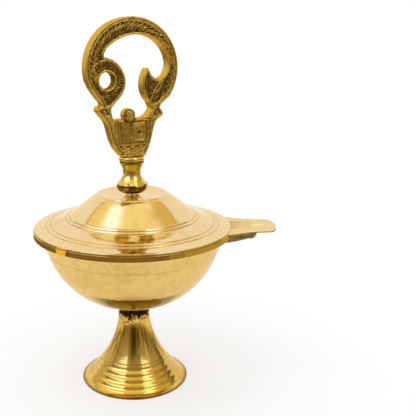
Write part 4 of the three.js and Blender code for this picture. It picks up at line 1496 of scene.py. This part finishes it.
        for turn in np.arange(34, 198, 6.2):
            turn += rng.uniform(-1.1, 1.1)
            across(turn, 13.5 + rng.uniform(0, 0.5), 16.6 - rng.uniform(0, 0.6), 0.30, 0.04, 0.33)
            across(turn + 3.1, 14.0 + rng.uniform(0, 1.4), 15.6 + rng.uniform(0, 0.7), 0.14, 0.02, 0.23)
        for turn in np.arange(-30, 34, 4.6):
            across(turn + rng.uniform(-0.5, 0.5), 14.7 + rng.uniform(0, 0.3), 16.9, 0.15, 0.02, 0.33)
        for k in range(44):
            beta, reach = k * 2.4, 4.95 + 2.7 * ((k * 0.618) % 1)
            middle = arc(self.curl_centre, reach, np.array([beta]))[0]
            turn = rng.uniform(0, TAU) + np.linspace(0, rng.uniform(1.6, 3.6), 6)
            made.append((arc(middle, 0.55, turn), 0.27))
        made.append((smooth_line([(6.3, 17.9), (7.3, 20.6), (8.7, 24.0), (11.3, 27.3)], 3), 0.36))
        made.append((smooth_line([(7.3, 17.8), (9.6, 19.0), (11.5, 20.9), (12.6, 22.9)], 3), 0.34))
        made.append((smooth_line([(5.6, 28.3), (5.3, 25.2), (5.7, 22.2), (7.0, 19.0)], 3), 0.28))
        for k, share in enumerate(np.linspace(0.12, 0.9, 7)):
            root = np.array([6.5 + 4.3 * share, 18.6 + 8.4 * share])
            for side in (2.25 - 0.05 * k, 0.30 + 0.05 * k):
                length = 1.5 + 1.2 * math.sin(3.1 * share)
                tip = root + length * np.array([math.cos(side), math.sin(side)])
                made.append((smooth_line([root, (root + tip) / 2 + (0.15, -0.12), tip], 3), 0.27))
        return made

    def field(self, points: np.ndarray) -> np.ndarray:
        """Carved strokes on the sunk fields, as heights from 0 to 1.

        Args:
            points: Points (s, h) on the face.

        Returns:
            The strokes' height at each point.
        """
        raised = np.zeros(len(points))
        for line, half in self.strokes():
            near = np.where((np.abs(points - line.mean(0)) < self.stroke_reach).all(1))[0]
            gap = np.full(len(near), np.inf)
            for start, end in zip(line[:-1], line[1:]):
                along = end - start
                share = np.clip((points[near] - start) @ along / max(along @ along, 1e-9), 0, 1)
                gap = np.minimum(gap, np.linalg.norm(points[near] - start - share[:, None] * along, axis=1))
            raised[near] = np.maximum(raised[near], np.clip(1 - (gap / half) ** 2, 0, 1))
        from_curl = np.hypot(points[:, 0] - self.curl_centre[0], points[:, 1] - self.curl_centre[1])
        raised = np.maximum(raised, bump_at(from_curl, 4.5, 0.36))
        coarse = 0.5 + 0.5 * np.clip(self.ripple(points[:, 0], points[:, 1], 5, 1.7), -1, 1)
        return np.maximum(raised, 0.30 * coarse)

    @staticmethod
    def ripple(s: np.ndarray, h: np.ndarray, seed: int, scale: float) -> np.ndarray:
        """Smooth unevenness made of a few waves.

        Args:
            s: Distance to the right.
            h: Height.
            seed: Picks the waves.
            scale: Waves in each millimetre, roughly.

        Returns:
            Values from about -1 to 1.
        """
        rng = np.random.default_rng(seed)
        total = np.zeros(len(s))
        for _ in range(9):
            turn, size = rng.uniform(0, TAU), scale * rng.uniform(1.6, 4.2)
            total += np.sin(size * (s * math.cos(turn) + h * math.sin(turn)) + rng.uniform(0, TAU))
        return total / 3.2

    def vase(self, s: np.ndarray, h: np.ndarray) -> np.ndarray:
        """Depth of the carving on the vase-shaped base.

        Args:
            s: Distance to the right of the middle line.
            h: Height above the foot.

        Returns:
            How far each point is sunk, in millimetres.
        """
        sunk = np.zeros(len(s))
        frame_edge = np.maximum(np.abs(s - 0.1) - 6.3 + 0.16 * np.maximum(9 - h, 0), 3.9 - h)
        sunk += 0.36 * bump_at(frame_edge, 0.0, 0.42)
        sunk += 0.22 * bump_at(frame_edge, 1.0, 0.3) * (h > 4.5)
        inside = smoothstep(-frame_edge, 0.45, 0.8) * smoothstep(13.4 - h, 0, 0.4)
        bar = self.plate_distance(s, h, (-3.05, 9.2), (1.35, 3.5), 0.7)
        square = self.plate_distance(s, h, (2.35, 9.1), (2.35, 3.4), 0.9)
        ground = smoothstep(np.minimum(bar, square), 0.0, 0.35)
        panel = 0.46 * ground
        flutes = 0.5 + 0.5 * np.cos(TAU * (s + 0.12 * h) / 0.95)
        panel = np.where(s < -1.2, 0.12 + 0.26 * flutes + 0.1 * ground, panel)
        panel = np.where(square < 0, 0.22 * smoothstep(-square, 0.45, 0.75), panel)
        panel += 0.75 * bump_at(np.hypot(s - 2.5, h - 9.0), 0, 1.15)
        panel -= 0.45 * bump_at(np.hypot(s - 2.9, h - 7.9), 0, 0.55)
        panel -= 0.5 * bump_at(np.hypot(s + 0.75, h - 6.9), 0, 0.75)
        top_line = np.abs((h - 12.1) - 0.22 * (s - 2.4)) + 3 * np.maximum(np.abs(s - 2.4) - 2.3, 0)
        panel -= 0.4 * bump_at(top_line, 0, 0.55)
        sunk += inside * panel
        swag = (h - 2.75) + 0.42 * np.cos(TAU * (s + 0.4) / 3.3)
        sunk += 0.42 * bump_at(swag, 0.62, 0.45) + 0.3 * bump_at(swag, -0.75, 0.45)
        sunk += 0.35 * bump_at(h, 13.75, 0.35) * (np.abs(s - 0.2) < 6.5)
        return sunk

    @staticmethod
    def plate_distance(s: np.ndarray, h: np.ndarray, centre: tuple, half: tuple,
                       corner: float) -> np.ndarray:
        """Signed distance to a plate with rounded corners.

        Args:
            s: Distance to the right.
            h: Height.
            centre: Middle of the plate.
            half: Half its width and height.
            corner: Radius of its corners.

        Returns:
            Distance outside the plate, negative inside.
        """
        a = np.abs(s - centre[0]) - half[0] + corner
        b = np.abs(h - centre[1]) - half[1] + corner
        return np.hypot(np.maximum(a, 0), np.maximum(b, 0)) + np.minimum(np.maximum(a, b), 0) - corner

    def sunk(self, points: np.ndarray, d_out: np.ndarray, d_open: np.ndarray,
             d_hole: np.ndarray) -> np.ndarray:
        """How far each point of a face lies below the plate's front plane.

        Args:
            points: Points on the face.
            d_out: Distance to the outer outline.
            d_open: Distance to the opening.
            d_hole: Distance to the curl's hole.

        Returns:
            Depths in millimetres.
        """
        s, h = points[:, 0], points[:, 1]
        edge = np.minimum.reduce([d_out, d_open, d_hole])
        depth = self.arris * (1 - np.sqrt(1 - (1 - np.clip(edge / self.arris, 0, 1)) ** 2))
        upper = smoothstep(h, 18.6, 19.8)
        rim = 0.36 * bump_at(d_out, 0.80, 0.30) + 0.26 * bump_at(d_out, 1.5, 0.25)
        band = smoothstep(d_out, 1.5, 1.85) * smoothstep(d_open, 0.75, 1.05) * smoothstep(d_hole, 0.85, 1.1)
        rim += 0.30 * bump_at(d_open, 0.9, 0.3) + 0.25 * bump_at(d_hole, 0.9, 0.28)
        from_curl = np.hypot(s - self.curl_centre[0], h - self.curl_centre[1])
        from_ring = np.hypot(s - self.ring_centre[0], h - self.ring_centre[1])
        line = bump_at(from_curl, 7.1, 0.42) * (h > 28) * (s < -4) * (s > -16) * (from_curl < 8)
        fold = bump_at(from_ring, 12.9, 0.4) * (s > 9) * (h < 30)
        ridge = np.clip(line + fold, 0, 1)
        carved = self.field(points)
        field_depth = self.field_sunk * band * (1 - 0.95 * carved) * (1 - ridge)
        body = upper * np.maximum(rim * (1 - ridge * 0.7), field_depth)
        lower = (1 - upper) * (0.34 * bump_at(d_out, 0.95, 0.30) * (np.abs(s) > 3.2)
                               + self.vase(s, h) * smoothstep(d_out, 1.2, 1.7) * (h < 14.2))
        ears = np.zeros(len(s))
        for centre, lean in (((-11.0, 16.9), -0.55), ((9.7, 15.9), 0.75)):
            long = (s - centre[0]) * math.cos(lean) + (h - centre[1]) * math.sin(lean)
            wide = -(s - centre[0]) * math.sin(lean) + (h - centre[1]) * math.cos(lean)
            drop = np.hypot(long / 1.75, wide / (1.15 + 0.15 * long * np.sign(centre[0])))
            ears += 0.5 * bump_at(drop, 0.78, 0.4) + 0.2 * (drop < 0.7) - 0.2 * bump_at(drop, 0, 0.35)
        lower = np.maximum(lower, np.clip(ears, 0, 0.6) * smoothstep(edge, 0.3, 0.7) * (h < 19.4))
        knob = np.hypot(s - self.knob_centre[0], h - self.knob_centre[1])
        on_knob = knob < self.knob_radius + 0.02
        lower = np.where(on_knob, 0.62 * smoothstep(knob, 0.9, 2.5), lower)
        lower += 0.5 * bump_at(knob, 2.75, 0.42) * (h < 14.6) * (h > 11)
        uneven = (0.05 * np.sin(s * 1.3 + 0.8 * h) + 0.04 * np.sin(2.7 * h - s)
                  + 0.03 * np.sin(4.9 * s + 3.1 * h)) * smoothstep(edge, 0.3, 1.0)
        return depth + np.clip(body + lower + 0.06 + uneven, 0.0, self.deepest)

    def to_space(self, points: np.ndarray, proud: np.ndarray) -> np.ndarray:
        """Places points of the plate in space.

        Args:
            points: Points (s, h) on the plate.
            proud: Distance in front of its middle plane.

        Returns:
            Points (x, y, z), centred on the axis.
        """
        c, s = math.cos(math.radians(self.turn)), math.sin(math.radians(self.turn))
        return np.stack([points[:, 0] * c + proud * s, points[:, 0] * s - proud * c,
                         STEM_TOP_Z + points[:, 1]], axis=1)

    def face(self, outlines: list) -> tuple:
        """Fills the metal between the outlines with triangles of even size.

        Args:
            outlines: The three outlines.

        Returns:
            Points, triangles, and for each outline the numbers of its points.
        """
        seam = np.concatenate(outlines)
        low, high = seam.min(0), seam.max(0)
        along = np.arange(low[0], high[0], self.grid)
        up = np.arange(low[1], high[1], self.grid * 0.866)
        grid = np.concatenate([np.stack([along + (k % 2) * self.grid / 2, np.full(len(along), row)], axis=1)
                               for k, row in enumerate(up)])
        grid = grid[self.between(grid, outlines)]
        near = np.minimum.reduce([self.distance(grid, outline) for outline in outlines])
        flat = np.concatenate([seam, grid[near > self.grid * 0.55]])
        edges, numbers, first = [], [], 0
        for outline in outlines:
            here = first + np.arange(len(outline))
            edges += np.stack([here, np.roll(here, -1)], axis=1).tolist()
            numbers.append(here)
            first += len(outline)
        result = geometry.delaunay_2d_cdt([Vector(p) for p in flat], edges, [], 0, TINY)
        made = np.array([tuple(v) for v in result[0]])
        triangles = np.array(result[2])
        triangles = triangles[self.between(made[triangles].mean(1), outlines)]
        origin = {k: i for i, sources in enumerate(result[3]) for k in sources}
        return made, triangles, [np.array([origin[k] for k in here]) for here in numbers]

    def build(self) -> None:
        """Makes the ornament from two carved faces and the walls between them."""
        outlines = self.outlines()
        made, triangles, tops = self.face(outlines)
        away = [self.distance(made, outline) for outline in outlines]
        sunk = self.sunk(made, *away)
        half = self.thickness / 2
        base = 2 * len(made)
        vertices = [self.to_space(made, half - sunk), self.to_space(made, sunk - half)]
        faces = triangles.tolist() + (triangles[:, ::-1] + len(made)).tolist()
        for top in tops:
            rings = [top]
            for level in self.wall_levels:
                vertices.append(self.to_space(made[top], level * (half - sunk[top])))
                rings.append(base + np.arange(len(top)))
                base += len(top)
            rings.append(top + len(made))
            for upper, lower in zip(rings[:-1], rings[1:]):
                faces += quads(upper, lower)
        piece = make_mesh("ornament_cast", (np.concatenate(vertices), faces), 48)
        self.mark(piece, made, sunk, np.minimum.reduce(away))
        settle(piece, Body.LID, "finial_ornament", self.finish)

    def mark(self, piece: bpy.types.Object, made: np.ndarray, sunk: np.ndarray, edge: np.ndarray) -> None:
        """Stores how hollow and how rubbed each point is, for the finish.

        Args:
            piece: The ornament.
            made: Points of a face.
            sunk: Their depths.
            edge: Their distances to the nearest outline.
        """
        count = len(piece.data.vertices)
        spots = np.empty(count * 3)
        piece.data.vertices.foreach_get("co", spots)
        spots = spots.reshape(-1, 3) / MM - (AXIS_X, 0, 0)
        c, s = math.cos(math.radians(self.turn)), math.sin(math.radians(self.turn))
        along = spots[:, 0] * c + spots[:, 1] * s
        proud = np.abs(spots[:, 0] * s - spots[:, 1] * c)
        height = spots[:, 2] - STEM_TOP_Z
        cell = {(round(p[0], 2), round(p[1], 2)): i for i, p in enumerate(made)}
        hollow, rubbed = np.zeros(count), np.zeros(count)
        for i in range(count):
            k = cell.get((round(along[i], 2), round(height[i], 2)))
            if k is None or self.thickness / 2 - proud[i] > sunk[k] + 0.05:
                off_hole = math.hypot(along[i] - self.curl_centre[0], height[i] - self.curl_centre[1])
                rubbed[i], hollow[i] = (0.1, 0.75) if off_hole < self.curl_hole + 0.45 else (0.78, 0)
                continue
            hollow[i] = min(max((sunk[k] - 0.12) / 0.6, 0), 1) * (1 if height[i] > 15 else 0.75)
            rubbed[i] = max(0.9 - sunk[k] * 3.4, 0) * (0.85 if edge[k] > 1.4 else 1.0)
            rubbed[i] += 0.4 * (edge[k] < 0.3)
        for name, values in (("hollow", hollow), ("rubbed", np.clip(rubbed, 0, 1))):
            layer = piece.data.attributes.new(name, "FLOAT", "POINT")
            layer.data.foreach_set("value", values.astype(np.float32))


@dataclass(frozen=True)
class Card:
    """A curved card round the lamp that only the metal mirrors.

    Directions are in degrees from the camera's side, positive to the right, and heights in metres. The
    rounding is how far the upper corner away from the camera's side falls.
    """

    name: str
    left: float
    right: float
    low: float
    high: float
    colour: tuple
    top: tuple
    inward: float = 0.0
    rounding: float = 0.0


@dataclass
class Studio:
    """Pale floor, even light, the cards that the metal mirrors, and the camera.

    Directions round the lamp are in degrees from the camera's side, positive to the right. A glow of
    the ceiling has a middle, the distances up to which it is full and where it ends, and a colour. A
    ground has a name, the directions of both its ends and a colour.
    """

    white: float = 1.0
    floor_half: float = 1.1
    fade: tuple = (0.25, 0.6)
    room_radius: float = 0.62
    steps: int = 40
    ceiling_height: float = 0.88
    ceiling_glows: tuple = (
        ((-0.34, 0.05), 0.08, 0.24, (1.45, 1.55, 1.95)),
        ((0.27, 0.16), 0.03, 0.13, (1.05, 1.02, 0.80)),
        ((0.36, -0.29), 0.06, 0.24, (1.8, 2.3, 1.5)),
    )
    ground_inner: float = 0.17
    ground_outer: float = 1.7
    grounds: tuple = (
        ("ground_rise", 37, 55, (0.37, 0.28, 0.10)), ("ground_front", -70, 37, (0.25, 0.16, 0.055)),
        ("ground_line", -73, -70, (0.05, 0.04, 0.01)), ("ground_gold", -87, -73, (1.05, 0.82, 0.14)),
        ("ground_left", -150, -87, (0.22, 0.17, 0.06)), ("ground_right", 55, 150, (0.52, 0.43, 0.14)),
    )
    lens: float = 58.9
    shift: float = 0.132
    stand: tuple = (-0.00058, -0.2515, 0.1353)
    look_down: float = 14.67
    roll: float = -0.44
    walls: tuple = (
        Card("room_left", -124, -86, 0.0, 0.36, (0.70, 0.70, 0.60), (0.55, 0.54, 0.42)),
        Card("room_line", -86, -82, 0.0, 0.36, (0.16, 0.12, 0.04), (0.20, 0.16, 0.06)),
        Card("room_front", -82, 108, 0.0, 0.46, (0.30, 0.26, 0.16), (0.58, 0.55, 0.44)),
        Card("room_camera", -30, 27, 0.0, 0.76, (0.16, 0.12, 0.04), (0.62, 0.58, 0.38), 0.04),
        Card("room_bar", 55, 59, 0.16, 0.44, (0.85, 0.80, 0.52), (0.90, 0.85, 0.60), 0.04),
        Card("room_edge", 108, 118, 0.0, 0.50, (0.14, 0.12, 0.05), (0.20, 0.18, 0.08)),
        Card("light_left", -92, -31, 0.34, 0.80, (1.6, 1.9, 2.8), (2.1, 2.7, 4.6), 0.02, 0.40),
        Card("light_right", 28, 62, 0.38, 0.80, (1.7, 2.1, 3.0), (2.1, 2.7, 4.6), 0.02, 0.25),
    )

    def show(self, name: str, mesh: bpy.types.Mesh, sheet: Sheet) -> None:
        """Puts a card in the scene that only shows in the metal.

        Args:
            name: Its name.
            mesh: Its shape.
            sheet: Its finish.
        """
        mesh.materials.append(sheet.made)
        card = bpy.data.objects.new(name, mesh)
        bpy.context.scene.collection.objects.link(card)
        card.visible_camera = False
        card.visible_diffuse = False
        card.visible_shadow = False

    def strip(self, name: str, rows: list) -> bpy.types.Mesh:
        """A mesh between two rows of points.

        Args:
            name: Its name.
            rows: Two lists with as many points as the studio's steps.

        Returns:
            The mesh.
        """
        count = self.steps
        mesh = bpy.data.meshes.new(name)
        mesh.from_pydata(rows[0] + rows[1], [],
                         [(i, i + 1, i + count + 1, i + count) for i in range(count - 1)])
        return mesh

    @staticmethod
    def row(radius: float, angles: np.ndarray, heights: np.ndarray) -> list:
        """Points round the lamp at angles in radians, one height for each."""
        return [(radius * math.sin(t), -radius * math.cos(t), z) for t, z in zip(angles, heights)]

    def wall(self, card: Card) -> None:
        """Stands a curved card round the lamp.

        Args:
            card: Its place and its light.
        """
        radius = self.room_radius - card.inward
        angles = np.radians(np.linspace(card.left, card.right, self.steps))
        outward = np.abs(angles) - np.abs(angles).min()
        fall = card.rounding * (outward / outward.max()) ** 3
        rows = [self.row(radius, angles, np.full(self.steps, card.low)),
                self.row(radius, angles, card.high - fall)]
        sheet = Sheet(card.name)
        height = sheet.split(sheet.point())[2]
        shade = sheet.blend(sheet.span(height, card.low, card.high), card.colour, card.top)
        sheet.end(sheet.light(shade))
        self.show(card.name, self.strip(card.name, rows), sheet)

    def ground(self, name: str, left: float, right: float, colour: tuple) -> None:
        """Lays a curved card on the floor, beyond the paper that the metal sees.

        Args:
            name: Its name.
            left: Direction of its left end.
            right: Direction of its right end.
            colour: Its light.
        """
        angles = np.radians(np.linspace(left, right, self.steps))
        heights = np.full(self.steps, MM)
        rows = [self.row(radius, angles, heights) for radius in (self.ground_inner, self.ground_outer)]
        sheet = Sheet(name)
        sheet.end(sheet.light(colour))
        self.show(name, self.strip(name, rows), sheet)

    def ceiling(self) -> None:
        """Hangs the warm ceiling card, with a soft lamp at its left and a darker back edge."""
        left, right, front, back, height = -1.5, 1.3, -0.95, 0.64, self.ceiling_height
        mesh = bpy.data.meshes.new("ceiling")
        mesh.from_pydata([(left, back, height), (right, back - 0.12, height), (right, front, height),
                          (left, front, height)], [], [(0, 1, 2, 3)])
        sheet = Sheet("ceiling")
        spot = sheet.point()
        x, y, _ = sheet.split(spot)
        colour = sheet.blend(sheet.span(x, 0.15, 0.55), (1.08, 0.99, 0.56), (0.76, 0.61, 0.21))
        for middle, inner, outer, light in self.ceiling_glows:
            away = sheet.node("ShaderNodeVectorMath", {0: spot, 1: (*middle, height)}, operation="DISTANCE")
            colour = sheet.blend(sheet.span(away.outputs["Value"], outer, inner), colour, light)
        depth = sheet.plus(y, sheet.times(x, 0.04))
        colour = sheet.blend(sheet.span(depth, 0.20, 0.40, 0.0, 0.4), colour, (0.92, 0.74, 0.24))
        colour = sheet.blend(sheet.span(depth, back - 0.16, back - 0.08), colour, (0.60, 0.42, 0.10))
        sheet.end(sheet.light(colour))
        self.show("ceiling", mesh, sheet)

    def floor(self) -> None:
        """Makes the pale floor, which fades into the white round it."""
        mesh = bpy.data.meshes.new("floor")
        wide = self.floor_half
        mesh.from_pydata([(-wide, -wide, 0), (wide, -wide, 0), (wide, wide, 0), (-wide, wide, 0)],
                         [], [(0, 1, 2, 3)])
        floor = bpy.data.objects.new("floor", mesh)
        bpy.context.scene.collection.objects.link(floor)
        sheet = Sheet("floor_paper")
        far = sheet.node("ShaderNodeVectorMath", {0: sheet.point()}, operation="LENGTH").outputs["Value"]
        paper = sheet.node("ShaderNodeBsdfDiffuse", {"Color": (0.97, 0.97, 0.97)})
        clear = sheet.node("ShaderNodeBsdfTransparent")
        white = sheet.light((1.0, 1.0, 1.0))
        paper = sheet.node("ShaderNodeMixShader", {0: 0.5, 1: paper.outputs[0], 2: white.outputs[0]})
        sheet.end(sheet.node("ShaderNodeMixShader", {0: sheet.span(far, *self.fade), 1: paper.outputs[0],
                                                     2: clear.outputs[0]}))
        mesh.materials.append(sheet.made)

    def world(self) -> None:
        """Lights everything evenly with white."""
        world = bpy.data.worlds.new("even_white")
        world.use_nodes = True
        glow = world.node_tree.nodes["Background"]
        glow.inputs["Color"].default_value = (1, 1, 1, 1)
        glow.inputs["Strength"].default_value = self.white
        bpy.context.scene.world = world

    def lamp(self, name: str, spot: tuple, aim: tuple, size: float, watts: float) -> None:
        """Adds a round soft lamp.

        Args:
            name: Its name.
            spot: Where it hangs.
            aim: What it points at.
            size: Its width.
            watts: Its power.
        """
        light = bpy.data.lights.new(name, "AREA")
        light.shape = "DISK"
        light.size = size
        light.energy = watts
        lamp = bpy.data.objects.new(name, light)
        lamp.location = spot
        lamp.rotation_mode = "QUATERNION"
        lamp.rotation_quaternion = (Vector(aim) - Vector(spot)).to_track_quat("-Z", "Y")
        lamp.visible_camera = False
        lamp.visible_glossy = False
        bpy.context.scene.collection.objects.link(lamp)

    def camera(self) -> None:
        """Sets the camera at the photograph's viewing angle."""
        made = bpy.data.cameras.new("camera")
        made.sensor_width = 36
        made.lens = self.lens
        made.shift_x = self.shift
        made.clip_start = 0.01
        camera = bpy.data.objects.new("camera", made)
        camera.location = self.stand
        camera.rotation_mode = "QUATERNION"
        camera.rotation_quaternion = (Quaternion((1, 0, 0), math.radians(90 - self.look_down))
                                      @ Quaternion((0, 0, 1), math.radians(self.roll)))
        bpy.context.scene.collection.objects.link(camera)
        bpy.context.scene.camera = camera

    def build(self) -> None:
        """Sets the whole studio."""
        bpy.context.scene.view_settings.view_transform = "Standard"
        self.world()
        self.floor()
        self.ceiling()
        for card in self.walls:
            self.wall(card)
        for ground in self.grounds:
            self.ground(*ground)
        self.lamp("key", spot=(-0.20, -0.15, 0.70), aim=(AXIS_X * MM, 0, 0.05), size=0.30, watts=0.4)
        self.camera()


def main() -> None:
    """Builds the lamp and its studio."""
    logging.basicConfig(level=logging.INFO, format="%(message)s")
    bowl, spout, lid = Bowl(), Spout(), Lid()
    Foot().build()
    NeckBraze().build()
    bowl.build(spout.notch())
    spout.build()
    SpoutBraze().build(bowl, spout)
    lid.build()
    lid.build_ring()
    Stem().build()
    Ornament().build()
    Studio().build()


if __name__ == "__main__":
    main()
